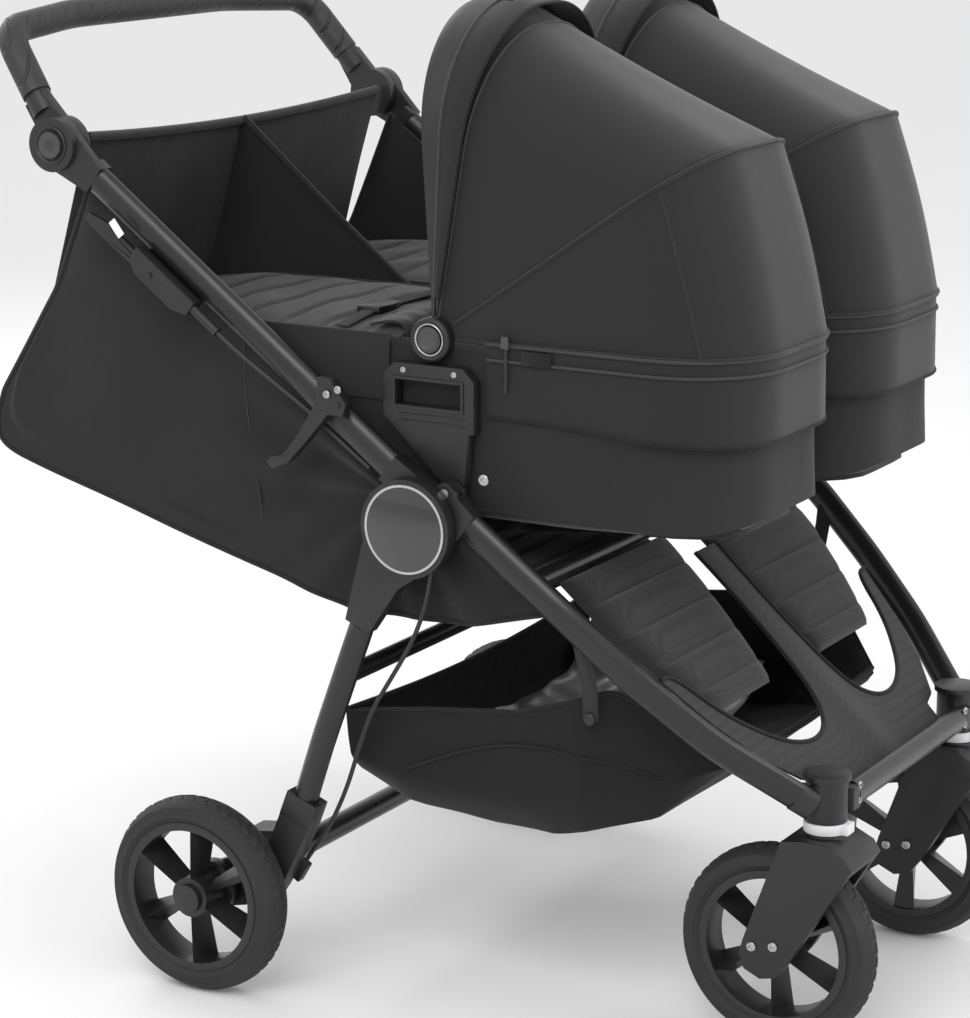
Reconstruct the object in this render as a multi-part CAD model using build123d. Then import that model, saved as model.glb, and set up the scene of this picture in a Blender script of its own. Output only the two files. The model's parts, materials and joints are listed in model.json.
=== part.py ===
from build123d import *
import math
import os

# Side-by-side pushchair with two carrycots. Millimetres, +X forward, +Y the pushchair's left, +Z up.
# The origin is on the ground, under the middle of the overall box.

# ---- driving dimensions -------------------------------------------------------------------------
clear = 0.3                     # gap between neighbours that do not turn on each other
running = 0.05                  # radial clearance of a shaft in its bore
touch = 0.1                     # gap of a seated fit
through = (200.0, 600.0)        # a hole right through a side fitting starts and ends here

wheel_radius = 108.0
tyre_width = 46.0
tyre_section = 24.0             # radial height of the tyre
rim_width = 38.0
rim_wall = 9.0
spoke_count = 6
axle_radius = 5.0

rear_hub_x = -196.5
front_hub_x = 412.5
caster_x = 461.5
caster_y = 180.0
housing_low = 2 * wheel_radius + 36     # underside of the caster housings
housing_high = housing_low + 50

tube_y = 319.0                  # middle plane of the side tubes
tube_height = 32.0
tube_thick = 20.0
tube_wall = 1.8

leg_pivot = (60.0, 543.0)       # x, z of the rear legs' pivot
fold_pivot = (97.0, 581.0)      # x, z of the fold hinge, at the tubes' top edge
handle_pivot = (-382.5, 908.0)  # x, z of the handlebar's pivot
pin_radius = 5.0
hub_radius = 52.0
leg_y = tube_y + tube_thick / 2 + 7     # middle plane of the rear legs
rear_wheel_y = leg_y + 21

seat_half = tube_y - 23         # inner face of the side panels
cloth = 4.0

cot_rear = -365.0
cot_front = 427.0
cot_inner = 12.0
cot_outer = seat_half - 5
cot_bottom = 545.0
cot_rim = 725.0
cot_wall = 6.0
cot_corner = 98.0
hood_hinge = (65.0, 733.0)      # x, z of the hoods' hinge

os.makedirs("parts", exist_ok=True)


# ---- helpers ------------------------------------------------------------------------------------
def prism(points, y_low, y_high):
    """A plate with this X-Z outline, between two Y planes."""
    wire = Wire.make_polygon([Vector(x, y_low, z) for x, z in points], close=True)
    return Solid.extrude(Face(wire), Vector(0, y_high - y_low, 0))


def round_y(place, radius, y_low, y_high):
    """A cylinder along Y at this x, z."""
    middle = Pos(place[0], (y_low + y_high) / 2, place[1])
    return middle * Rot(90, 0, 0) * Cylinder(radius, abs(y_high - y_low))


def round_z(x, y, radius, z_low, z_high):
    """A cylinder along Z at this x, y."""
    return Pos(x, y, (z_low + z_high) / 2) * Cylinder(radius, z_high - z_low)


def block(low, high):
    """A box between two corners."""
    size = [b - a for a, b in zip(low, high)]
    middle = [(a + b) / 2 for a, b in zip(low, high)]
    return Pos(*middle) * Box(*size)


def both_sides(left):
    """The left piece and its mirror on the right."""
    return [left, mirror(left, about=Plane.XZ)]


def solids_of(shape):
    """All the solids in a shape or a list of shapes."""
    if isinstance(shape, (list, tuple)):
        found = []
        for one in shape:
            found += solids_of(one)
        return found
    return list(shape.solids())


def save(name, *shapes):
    """Write a node, one STEP file with its solids."""
    found = solids_of(list(shapes))
    node = found[0] if len(found) == 1 else Compound(children=found)
    export_step(node, "parts/" + name + ".step")


def along(start, end, far):
    """The point this far from start towards end, in the X-Z plane."""
    length = math.hypot(end[0] - start[0], end[1] - start[1])
    return (start[0] + (end[0] - start[0]) * far / length, start[1] + (end[1] - start[1]) * far / length)


def aside(place, run_start, run_end, offset):
    """A point moved square to a run, upwards for a positive offset."""
    length = math.hypot(run_end[0] - run_start[0], run_end[1] - run_start[1])
    ux = (run_end[0] - run_start[0]) / length
    uz = (run_end[1] - run_start[1]) / length
    if ux < 0:
        ux, uz = -ux, -uz
    return (place[0] - uz * offset, place[1] + ux * offset)


def oval_run(start, end, y, height, thick, wall):
    """A straight tube of oval section between two x, z points; wall 0 makes it solid."""
    direction = Vector(end[0] - start[0], 0, end[1] - start[1])
    plane = Plane(origin=(start[0], y, start[1]), x_dir=(0, 1, 0), z_dir=direction)
    section = Ellipse(thick / 2, height / 2)
    if wall:
        section -= Ellipse(thick / 2 - wall, height / 2 - wall)
    return extrude(plane * section, amount=direction.length)


# ---- main tubes ---------------------------------------------------------------------------------
upper_top = (-333.5, 872.0)
upper_low = (28.5, 600.5)
lower_top = (122.0, 547.5)
lower_route = [
    (lower_top[0], tube_y, lower_top[1]),
    (225.0, tube_y, 472.0),
    (300.0, tube_y - 19, 405.0),
    (372.0, tube_y - 51, 342.0),
    (caster_x - 19.5, caster_y + 34, housing_low + 32),
]
lower_radii = [220.0, 260.0, 240.0]


def lower_tube(grow=0.0, wall=tube_wall):
    """The bent lower side tube, from its knuckle to the caster housing, or a sleeve grown round it."""
    path = FilletPolyline(*lower_route, radius=lower_radii)
    start = Vector(*lower_route[0])
    direction = Vector(*lower_route[1]) - start
    plane = Plane(origin=start, x_dir=(0, 1, 0), z_dir=direction)
    section = Ellipse(tube_thick / 2 + grow, tube_height / 2 + grow)
    section -= Ellipse(tube_thick / 2 + grow - wall, tube_height / 2 + grow - wall)
    return sweep(plane * section, path=path)


knuckle_plug = 28.0             # how far a knuckle's tongue reaches into its tube


def plug(start, direction_end, length, y):
    """The tongue of a knuckle or socket that fills the tube's end."""
    end = along(start, direction_end, length)
    inner_height = tube_height - 2 * tube_wall - 2 * touch
    inner_thick = tube_thick - 2 * tube_wall - 2 * touch
    return oval_run(start, end, y, inner_height, inner_thick, 0)


def upper_tube():
    return oval_run(upper_top, upper_low, tube_y, tube_height, tube_thick, tube_wall)


# ---- fold hinge ---------------------------------------------------------------------------------
ear_radius = 11.0
ear_gap = 7.0                   # thickness of the upper ear that sits between the two lower ears
knuckle_inner = tube_y - tube_thick / 2
knuckle_outer = tube_y + tube_thick / 2
half_height = tube_height / 2
run_dir = (upper_low[0] - upper_top[0], upper_low[1] - upper_top[1])


def upper_knuckle():
    """End fitting of the upper tube, with one ear that turns on the fold pin."""
    top_corner = aside(upper_low, upper_top, upper_low, half_height)
    low_corner = aside(upper_low, upper_top, upper_low, -half_height)
    low_end = along(low_corner, (low_corner[0] + run_dir[0], low_corner[1] + run_dir[1]), 50)
    body = prism([top_corner, (fold_pivot[0] - 15, fold_pivot[1] + 4),
                  (fold_pivot[0] - 16, fold_pivot[1] - 16),
                  low_end, low_corner], knuckle_inner, knuckle_outer)
    half_ear = ear_gap / 2
    ear = round_y(fold_pivot, ear_radius, tube_y - half_ear, tube_y + half_ear)
    neck = prism([(fold_pivot[0] - 18, fold_pivot[1] + 3), (fold_pivot[0], fold_pivot[1] + ear_radius),
                  (fold_pivot[0], fold_pivot[1] - 10), (fold_pivot[0] - 18, fold_pivot[1] - 14)],
                 tube_y - half_ear, tube_y + half_ear)
    piece = body + ear + neck + plug(upper_low, upper_top, knuckle_plug, tube_y)
    return piece - round_y(fold_pivot, pin_radius + running, *through)


def lower_knuckle():
    """Fitting on the lower tube: the fold ears, the rear leg's seat and the carrycot's receiver."""
    shelf_a = aside(leg_pivot, upper_top, upper_low, 11)
    far_a = along(shelf_a, (shelf_a[0] - run_dir[0], shelf_a[1] - run_dir[1]), 90)
    far_b = along(shelf_a, (shelf_a[0] + run_dir[0], shelf_a[1] + run_dir[1]), 20)
    keep = prism([far_a, far_b, (fold_pivot[0] + 5, 560), (200, 560), (200, 440), (-60, 440)],
                 knuckle_inner, knuckle_outer)
    disc = round_y(leg_pivot, hub_radius - 5, knuckle_inner, knuckle_outer) & keep
    tube_low = aside(lower_top, lower_route[0][::2], lower_route[1][::2], -half_height)
    tube_high = aside(lower_top, lower_route[0][::2], lower_route[1][::2], half_height)
    arm = prism([tube_high, (fold_pivot[0] + 14, fold_pivot[1] - 2), (fold_pivot[0] + 3, fold_pivot[1] - 16),
                 (86, 545), (84, 520), tube_low], knuckle_inner, knuckle_outer)
    piece = disc + arm
    half_slot = ear_gap / 2 + clear
    for y_low, y_high in ((knuckle_inner, tube_y - half_slot), (tube_y + half_slot, knuckle_outer)):
        piece += round_y(fold_pivot, ear_radius, y_low, y_high)
        piece += prism([(fold_pivot[0] + 1, fold_pivot[1] + ear_radius),
                        (fold_pivot[0] + 15, fold_pivot[1] + 3),
                        (fold_pivot[0] + 15, fold_pivot[1] - 20), (fold_pivot[0] + 1, fold_pivot[1] - 20)],
                       y_low, y_high)
    piece -= round_y(fold_pivot, ear_radius + 1.5, tube_y - half_slot, tube_y + half_slot)
    piece += plug(lower_top, lower_route[1][::2], 16, tube_y)
    receiver = block((receiver_low[0], receiver_inner, receiver_low[1]), (receiver_high[0], knuckle_inner,
                                                                          receiver_high[1]))
    receiver -= tongue(touch * 3)
    piece += receiver
    piece -= round_y(leg_pivot, pin_radius + touch, *through)
    return piece - round_y(fold_pivot, pin_radius + touch, *through)


# ---- carrycot's mount, shared by the bracket and the knuckle's receiver ----------------------------
tongue_x = (84.0, 104.0)
tongue_y = (tube_y - 21, tube_y - 15)
tongue_low = 558.0
receiver_low = (77.0, 550.0)
receiver_high = (111.0, 572.0)
receiver_inner = tube_y - 24.5


def tongue(extra):
    """The bracket's tongue, or its pocket when extra is the clearance."""
    return block((tongue_x[0] - extra, tongue_y[0] - extra, tongue_low - extra),
                 (tongue_x[1] + extra, tongue_y[1] + extra, 600))


def mount_bracket():
    """Moulded bracket on the carrycot's side: handle slot above, tongue below."""
    inner = cot_outer + clear * 10
    outer = knuckle_inner - 1.5
    plate = prism([(12, 650), (12, 694), (25, 707), (106, 707), (119, 694), (119, 640), (113, 640),
                   (108, 585),
                   (84, 585), (20, 644)], inner, outer)
    slot = block((27, inner - 5, 664), (104, outer + 5, 690))
    plate -= slot
    plate += tongue(0)
    boss = round_y((36, 700), 3, cot_outer + touch, inner) + round_y((96, 700), 3, cot_outer + touch, inner)
    return plate + boss


# ---- handlebar ----------------------------------------------------------------------------------
handle_disc = 29.0
handle_end_inner = tube_y - 13
handle_split = tube_y
socket_outer = tube_y + 18
bar_corner = (-470.0, 1022.0)
bar_radius = 9.5
grip_radius = 16.0
arm_end = along(handle_pivot, bar_corner, 62)


def handle_socket():
    """Plastic socket on the upper tube, with the outer half of the handlebar's pivot."""
    disc = round_y(handle_pivot, handle_disc, handle_split + clear, socket_outer)
    top_a = aside(upper_top, upper_top, upper_low, half_height)
    low_a = aside(upper_top, upper_top, upper_low, -half_height)
    neck = prism([top_a, low_a, (handle_pivot[0] - 6, handle_pivot[1] - 27),
                  (handle_pivot[0] + 14, handle_pivot[1] + 25)],
                 handle_split + clear, knuckle_outer)
    heel = prism([top_a, low_a, along(low_a, (low_a[0] - run_dir[0], low_a[1] - run_dir[1]), 14),
                  along(top_a, (top_a[0] - run_dir[0], top_a[1] - run_dir[1]),
                        14)], knuckle_inner, knuckle_outer)
    piece = disc + neck + heel + plug(upper_top, upper_low, knuckle_plug, tube_y)
    piece -= round_y(handle_pivot, handle_disc + 1, knuckle_inner - 5, handle_split + clear)
    piece -= round_y(handle_pivot, button_radius + clear, button_seat, socket_outer + 5)
    return piece - round_y(handle_pivot, pin_radius + running, through[0], button_seat + 5)


button_radius = 14.0
button_seat = tube_y + 8
button_travel = 4.0
button_proud = 3.0


def handle_button():
    """Round push button in the socket's face."""
    return round_y(handle_pivot, button_radius, button_seat + button_travel + clear,
                   socket_outer + button_proud)


def handle_end():
    """Plastic end of the handlebar with the inner half of its pivot and the pivot's stub."""
    disc = round_y(handle_pivot, handle_disc, handle_end_inner, handle_split)
    neck_end = along(handle_pivot, bar_corner, 58)
    side_a = aside(neck_end, handle_pivot, bar_corner, 14)
    side_b = aside(neck_end, handle_pivot, bar_corner, -14)
    base_a = aside(handle_pivot, handle_pivot, bar_corner, 20)
    base_b = aside(handle_pivot, handle_pivot, bar_corner, -20)
    neck = prism([base_a, side_a, side_b, base_b], handle_end_inner, handle_split)
    collar = extrude(bar_plane() * Ellipse(15, 13), amount=-24)
    stub = round_y(handle_pivot, pin_radius, handle_split, button_seat)
    return disc + neck + collar + stub


arm_y = tube_y - 10             # where the bar enters its end fittings
bar_half = tube_y - 24          # half the bar's width at its corners
bar_y = 150.0
bar_bow = (-24.0, 8.0)          # how far the middle of the bar stands back and up


def bar_path():
    """The U of the handlebar, from one end fitting to the other."""
    middle = (bar_corner[0] + bar_bow[0], bar_corner[1] + bar_bow[1])
    points = [
        (arm_end[0], arm_y, arm_end[1]),
        (bar_corner[0], bar_half, bar_corner[1]),
        (middle[0], bar_y, middle[1]),
        (middle[0], -bar_y, middle[1]),
        (bar_corner[0], -bar_half, bar_corner[1]),
        (arm_end[0], -arm_y, arm_end[1]),
    ]
    return FilletPolyline(*points, radius=[42, 300, 300, 42])


def bar_plane():
    """The plane square to the handlebar where it leaves its left end fitting."""
    start = Vector(arm_end[0], arm_y, arm_end[1])
    corner = Vector(bar_corner[0], bar_half, bar_corner[1])
    return Plane(origin=start, z_dir=corner - start)


def handlebar_sweep(outer, inner):
    """A round tube along the handlebar's path."""
    return sweep(bar_plane() * (Circle(outer) - Circle(inner)), path=bar_path())


# ---- hand brake and latch (on the right side tube) -------------------------------------------------
def tube_point(x, offset):
    """A point beside the upper tube's centre line."""
    slope = run_dir[1] / run_dir[0]
    return aside((x, upper_top[1] + (x - upper_top[0]) * slope), upper_top, upper_low, offset)


lever_pivot = tube_point(-238.0, -27.0)
lever_pin = 3.0
brake_inner = -knuckle_outer
brake_outer = brake_inner - 14


def brake_bracket():
    """Moulded housing under the tube that carries the brake lever and the cable's adjuster."""
    base = prism([tube_point(-262, -13), tube_point(-190, -13), tube_point(-190, -30), tube_point(-205, -38),
                  tube_point(-250, -38), tube_point(-262, -30)], brake_outer, brake_inner - touch)
    seat = prism([tube_point(-258, -half_height - touch), tube_point(-192, -half_height - touch),
                  tube_point(-192, -24), tube_point(-258, -24)], brake_inner - touch, -tube_y)
    slot = prism([tube_point(-290, -19), tube_point(-222, -19), tube_point(-222, -45), tube_point(-290, -45)],
                 brake_outer + 3.5, brake_inner - 3.5)
    barrel = oval_run(tube_point(-190.5, -22), tube_point(-160, -22), brake_inner - 7, 10, 10, 0)
    wire_way = oval_run(tube_point(-175, -22), tube_point(-155, -22), brake_inner - 7, 5.2, 5.2, 0)
    piece = base + seat + barrel - slot - wire_way
    return piece - round_y(lever_pivot, lever_pin + touch, -through[1], -through[0])


def brake_lever():
    """Finger lever that lies along the underside of the tube."""
    y_low = brake_outer + 3.5 + clear
    y_high = brake_inner - 3.5 - clear
    eye = round_y(lever_pivot, 7.5, y_low, y_high)
    grip = prism([tube_point(-238, -20), tube_point(-300, -20), tube_point(-318, -26), tube_point(-318, -34),
                  tube_point(-300, -36), tube_point(-238, -34)], y_low, y_high)
    return eye + grip - round_y(lever_pivot, lever_pin + running, -through[1], -through[0])


def lever_rivet():
    return round_y(lever_pivot, lever_pin, brake_outer - 1, brake_inner - 1)


def latch_hook():
    """Moulded hook that hangs from the right tube and holds the frame shut when folded."""
    outline = [(-46, 690), (-30, 688), (-12, 664), (-16, 652), (-34, 652), (-60, 622), (-84, 596),
               (-104, 588),
               (-110, 594), (-106, 600), (-90, 604), (-72, 626), (-48, 664)]
    hook = prism(outline, -knuckle_outer - 13, -knuckle_outer - touch)
    for x, z in ((-33, 676), (-22, 663)):
        hook += round_y((x, z), 3.5, -knuckle_outer - 15, -knuckle_outer - 13)
    return hook


# ---- cables ------------------------------------------------------------------------------------
cable_radius = 2.4


def cable(points):
    """A cable as straight runs joined by tangent arcs as large as the runs allow."""
    spots = [Vector(*p) for p in points]
    radii = []
    for a, b, c in zip(spots, spots[1:], spots[2:]):
        turn = (b - a).get_angle(c - b)
        shorter = min((b - a).length, (c - b).length)
        radii.append(0.45 * shorter / math.tan(math.radians(turn) / 2))
    path = FilletPolyline(*points, radius=radii)
    plane = Plane(origin=spots[0], z_dir=spots[1] - spots[0])
    return sweep(plane * Circle(cable_radius), path=path), radii


cable_start = tube_point(-174.5, -22)
upper_cable_route = [
    (cable_start[0], brake_inner - 7, cable_start[1]),
    (tube_point(-140, -22)[0], brake_inner - 7, tube_point(-140, -22)[1]),
    (tube_point(-100, -21)[0], brake_inner - 1, tube_point(-100, -21)[1]),
    (tube_point(-58, -20)[0], brake_inner + 7, tube_point(-58, -20)[1]),
    (tube_point(-16, -21)[0], brake_inner + 10, tube_point(-16, -21)[1]),
    (tube_point(14, -20)[0], brake_inner + 11, tube_point(14, -20)[1]),
]
foot_inner = tube_y - 10
cable_y = foot_inner - 5        # the lower cable ends on the inside of the foot
lower_cable_route = [
    (88.0, -leg_y - 3, 503.0),
    (80.0, -leg_y - 2.5, 462.0),
    (60.0, -leg_y + 4, 420.0),
    (30.0, -leg_y + 15, 378.0),
    (-2.0, -leg_y + 26, 334.0),
    (-24.0, -cable_y, 284.0),
    (-40.0, -cable_y, wheel_radius + 128),
    (-62.0, -cable_y, wheel_radius + 82),
    (-92.0, -cable_y, wheel_radius + 39.5),
]


# ---- rear legs -----------------------------------------------------------------------------------
leg_inner = tube_y + tube_thick / 2 + 1.4
leg_outer = leg_y + 11
leg_top = (2.0, 432.0)
foot_y = leg_y - 15.5           # middle plane of the feet, inboard of the wheels
leg_route = [
    (leg_top[0], leg_y, leg_top[1]),
    (-50.0, leg_y - 5, 300.0),
    (-88.0, foot_y, wheel_radius + 95),
]
leg_size = (28.0, 20.0)         # front to back, side to side
rear_axle_z = wheel_radius


def leg_housing():
    """Moulded top of the rear leg: the round pivot housing and the neck to the leg tube."""
    disc = round_y(leg_pivot, hub_radius, leg_inner, leg_outer)
    right = (leg_top[0] + 14.5, leg_top[1] - 4.5)
    left = (leg_top[0] - 14.0, leg_top[1] + 6.5)
    neck = prism([left, (leg_pivot[0] - hub_radius + 2, leg_pivot[1] - 18),
                  (leg_pivot[0] + 20, leg_pivot[1] - 45),
                  (leg_pivot[0] - 8, leg_pivot[1] - 64), right], leg_inner, leg_outer)
    tail = leg_section(0, 1, tube_wall + clear, 0, 14) + leg_section(0, 1, tube_wall + clear, 0, -8)
    step = prism([left, right, along(right, (right[0] + 5, right[1] + 14), 16),
                  along(left, (left[0] + 5, left[1] + 14), 16)],
                 leg_y - leg_size[1] / 2 + 4.5, leg_outer)
    piece = disc + neck + step + tail
    piece -= round_y(leg_pivot, cover_radius + touch, leg_outer - 4, leg_outer + 5)
    piece -= round_y(leg_pivot, pin_radius + running, through[0], leg_outer - 5)
    start, after = Vector(*lower_cable_route[0]), Vector(*lower_cable_route[1])
    way = Plane(origin=start, z_dir=after - start)
    hole = extrude(way * Circle(cable_radius + 0.2), amount=30)
    return piece - mirror(hole, about=Plane.XZ)


cover_radius = 47.0


def hub_ring():
    ring = round_y(leg_pivot, cover_radius, leg_outer - 4, leg_outer + 1)
    return ring - round_y(leg_pivot, cover_radius - 3, leg_outer - 5, leg_outer + 3)


def hub_cover():
    cover = round_y(leg_pivot, cover_radius - 3 - touch, leg_outer - 4, leg_outer + 0.6)
    return cover


def leg_plane(start, end):
    """The plane square to the leg at one end of it, with its X across the leg."""
    first = Vector(*leg_route[start])
    direction = (Vector(*leg_route[end]) - first).normalized()
    across = Vector(0, 1, 0) - direction * direction.Y
    return Plane(origin=first, x_dir=across, z_dir=direction)


def leg_section(start, end, inset, wall, length):
    """A straight length of the leg's oval section from one end, inset from its outside."""
    section = Ellipse(leg_size[1] / 2 - inset, leg_size[0] / 2 - inset)
    if wall:
        section -= Ellipse(leg_size[1] / 2 - inset - wall, leg_size[0] / 2 - inset - wall)
    return extrude(leg_plane(start, end) * section, amount=length)


def rear_leg():
    """Bent leg tube from the housing to the foot."""
    path = FilletPolyline(*leg_route, radius=500)
    section = Ellipse(leg_size[1] / 2, leg_size[0] / 2)
    section -= Ellipse(leg_size[1] / 2 - tube_wall, leg_size[0] / 2 - tube_wall)
    return sweep(leg_plane(0, 1) * section, path=path)


foot_outer = rear_wheel_y - tyre_width / 2 - 1.5
foot_web = foot_inner + 13      # outer face of the foot's arm beside the axle
axle_tube = (-118.0, wheel_radius + 42)
axle_tube_radius = 13.0
cross_tube = (-30.0, 368.0)
cross_tube_radius = 10.0
cross_tube_half = leg_y - 13.1


def foot_socket():
    """Moulded foot that joins the leg, the axle tube and the wheel's axle."""
    bottom = leg_route[-1]
    above = leg_route[-2]
    length = math.hypot(bottom[0] - above[0], bottom[2] - above[2])
    dx, dz = (bottom[0] - above[0]) / length, (bottom[2] - above[2]) / length
    left = (bottom[0] + dz * 19, bottom[2] - dx * 19)
    right = (bottom[0] - dz * 19, bottom[2] + dx * 19)
    left_low = (left[0] + dx * 3, left[1] + dz * 3)
    right_low = (right[0] + dx * 3, right[1] + dz * 3)
    above_axle = [(-104, 20), (-130, -12), (-188, -26), (-208, -20), (-220, 0), (-208, 20), (-186, 30),
                  (-142, 42), (-122, 60)]
    outline = [left_low, right_low] + [(x, wheel_radius + z) for x, z in above_axle]
    arm = prism(outline, foot_inner, foot_web)
    shin = prism([left_low, right_low, (-104, wheel_radius + 20), (-122, wheel_radius - 8),
                  (-138, wheel_radius + 10),
                  (-128, wheel_radius + 48)], foot_inner, foot_outer)
    cuff = prism([left_low, right_low, (right[0] - dx * 26, right[1] - dz * 26),
                  (left[0] - dx * 26, left[1] - dz * 26)],
                 foot_inner, foot_outer + 1)
    cuff -= leg_section(2, 1, -0.2, 0, 60)
    cuff -= leg_section(2, 1, -0.2, 0, -clear)
    fender_points = [(-112, 70), (-116, 60), (-170, 42), (-178, 48), (-168, 62)]
    fender = prism([(x, wheel_radius + z) for x, z in fender_points], foot_inner - 36, foot_inner + 2)
    lug_points = [(-100, 42), (-88, 34), (-100, 14), (-112, 22)]
    lug = prism([(x, wheel_radius + z) for x, z in lug_points], cable_y - 5, foot_inner + 1)
    piece = arm + shin + cuff + fender + lug
    piece -= round_y(axle_tube, axle_tube_radius + touch, through[0], foot_inner + 6)
    return piece - round_y((rear_hub_x, rear_axle_z), axle_radius + touch, *through)


def wheel_axle():
    """Stub axle from the foot through the rear wheel."""
    shaft = round_y((rear_hub_x, rear_axle_z), axle_radius, foot_inner - 2, rear_wheel_y + 20)
    head = round_y((rear_hub_x, rear_axle_z), axle_radius + 4, foot_inner - 6, foot_inner)
    return shaft + head


drum_radius = 29.0
rear_barrel_half = 20.0
drum_outer = rear_wheel_y - rear_barrel_half - 0.5


def brake_drum():
    """Fixed brake plate with its cable lug, inboard of the rear wheel."""
    drum = round_y((rear_hub_x, rear_axle_z), drum_radius, foot_web + touch, drum_outer)
    return drum - round_y((rear_hub_x, rear_axle_z), axle_radius + touch, *through)


# ---- wheels ---------------------------------------------------------------------------------------
def tyre(place, y):
    """Rounded tyre, revolved about the wheel's axis."""
    half = tyre_width / 2
    inside = wheel_radius - tyre_section
    with BuildSketch(Plane.XY) as section:
        with BuildLine():
            Line((inside, -half + 5), (inside, half - 5))
            Line((inside, half - 5), (inside + 6, half - 1))
            RadiusArc((inside + 6, half - 1), (wheel_radius - 7, half - 4), -30)
            ThreePointArc((wheel_radius - 7, half - 4), (wheel_radius, 0), (wheel_radius - 7, -half + 4))
            RadiusArc((wheel_radius - 7, -half + 4), (inside + 6, -half + 1), -30)
            Line((inside + 6, -half + 1), (inside, -half + 5))
        make_face()
    ring = revolve(section.sketch, axis=Axis.Y, revolution_arc=360)
    return Pos(place[0], y, place[1]) * ring


def rim(place, y, barrel, barrel_half):
    """Moulded rim: outer ring, six ridged spokes and the hub barrel."""
    seat = wheel_radius - tyre_section - touch
    half = rim_width / 2
    ring = Rot(90, 0, 0) * Cylinder(seat, rim_width) - Rot(90, 0, 0) * Cylinder(seat - rim_wall,
                                                                                rim_width + 2)
    body = ring + Rot(90, 0, 0) * Cylinder(barrel, 2 * barrel_half)
    for number in range(spoke_count):
        near = Plane(origin=(barrel - 4, 0, 0), x_dir=(0, 1, 0), z_dir=(1, 0, 0))
        far = Plane(origin=(seat - rim_wall + 3, 0, 0), x_dir=(0, 1, 0), z_dir=(1, 0, 0))
        thin = near * Polygon((barrel_half - 2, 0), (-8, 6), (-8, -6), align=None)
        wide = far * Polygon((half - 3, 0), (-half + 4, 13), (-half + 4, -13), align=None)
        spoke = loft([thin.face(), wide.face()], ruled=True)
        body += Rot(0, 90 + number * 360 / spoke_count, 0) * spoke
    body -= Rot(90, 0, 0) * Cylinder(axle_radius + running, 200)
    if y < 0:
        body = mirror(body, about=Plane.XZ)
    return Pos(place[0], y, place[1]) * body


def rear_cap(y):
    """Round cap over the rear wheel's hub."""
    side = 1 if y > 0 else -1
    cap = round_y((rear_hub_x, rear_axle_z), 16, y + side * (rear_barrel_half + touch), y + side * 27)
    return cap


# ---- front casters --------------------------------------------------------------------------------
housing_radius = 22.0
stem_radius = 8.0
lock_high = housing_low - 0.5
lock_low = lock_high - 11
crown_high = lock_low - 4
fork_inner = tyre_width / 2 + 3
fork_outer = fork_inner + 12


def caster_housing():
    """Upright housing of the caster's stem, with stubs that fill the two frame tubes."""
    body = round_z(caster_x, caster_y, housing_radius, housing_low, housing_high - 6)
    cap = round_z(caster_x, caster_y, housing_radius + 3, housing_high - 6, housing_high)
    end = Vector(*lower_route[-1])
    before = Vector(*lower_route[-2])
    inward = (end - before).normalized()
    plane = Plane(origin=end, x_dir=(0, 0, 1), z_dir=inward)
    stub = extrude(plane * Ellipse(half_height, tube_thick / 2), amount=22)
    lug = block((caster_x + 5, caster_y - 32, housing_low + 8), (caster_x + 24, caster_y - 15,
                                                                 housing_low + 32))
    piece = body + cap + stub + lug
    piece -= block((caster_x - 60, caster_y - 60, housing_low - 40), (caster_x + 60, caster_y + 60,
                                                                      housing_low))
    return piece - round_z(caster_x, caster_y, stem_radius + running, housing_low - 5, housing_high - 8)


front_bar = (caster_x + 14.5, housing_low + 20)


def front_cross_tube():
    """Oval tube between the two caster housings."""
    half = caster_y - 32
    plane = Plane(origin=(front_bar[0], -half, front_bar[1]), x_dir=(0, 0, 1), z_dir=(0, 1, 0))
    section = Ellipse(14, 10) - Ellipse(14 - tube_wall, 10 - tube_wall)
    return extrude(plane * section, amount=2 * half)


def swivel_lock(y):
    """Turning collar with a finger tab, between the housing and the fork."""
    ring = round_z(caster_x, y, housing_radius + 1, lock_low, lock_high)
    ring += block((caster_x + 14, y - 9, lock_low), (caster_x + housing_radius + 6, y + 9, lock_high))
    return ring - round_z(caster_x, y, stem_radius + 1, lock_low - 20, lock_high + 20)


def fork(y):
    """One-piece fork: stem, neck, crown and two legs down to the axle, with the wheel's axle."""
    hub = (front_hub_x, wheel_radius)
    leg_outline = [(caster_x - 33.5, crown_high - 3.5), (caster_x - 11.5, crown_high),
                   (caster_x + 14.5, crown_high),
                   (caster_x + 37.5, crown_high - 10.5), (caster_x + 45.5, crown_high - 22.5),
                   (caster_x + 38.5, crown_high - 33.5)]
    around_hub = [(25.5, -8), (13.5, -24), (-4.5, -28), (-22.5, -20), (-28.5, -4), (-24.5, 12)]
    leg_outline += [(front_hub_x + x, wheel_radius + z) for x, z in around_hub]
    stem = round_z(caster_x, y, stem_radius, crown_high - 5, housing_high - 10)
    neck = round_z(caster_x, y, housing_radius - 2, crown_high - 10, lock_low - clear)
    solid = prism(leg_outline, y - fork_outer, y + fork_outer)
    hollow = round_y(hub, wheel_radius + 4, y - fork_inner, y + fork_inner)
    under_crown = crown_high - 31.5
    well = prism([(300, 0), (700, 0), (700, wheel_radius + 32), (520, under_crown), (300, under_crown)],
                 y - fork_inner, y + fork_inner)
    solid -= hollow
    solid -= well
    axle = round_y(hub, axle_radius, y - fork_outer + 2, y + fork_outer - 2)
    return solid + stem + neck + axle


# ---- seat, footwell and basket -----------------------------------------------------------------------
def upper_line(x, offset=0.0):
    """Height of the upper tube's centre line at x."""
    return upper_top[1] + (x - upper_top[0]) * run_dir[1] / run_dir[0] + offset


seam_rear = -330.0
seam_front = 0.0


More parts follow.
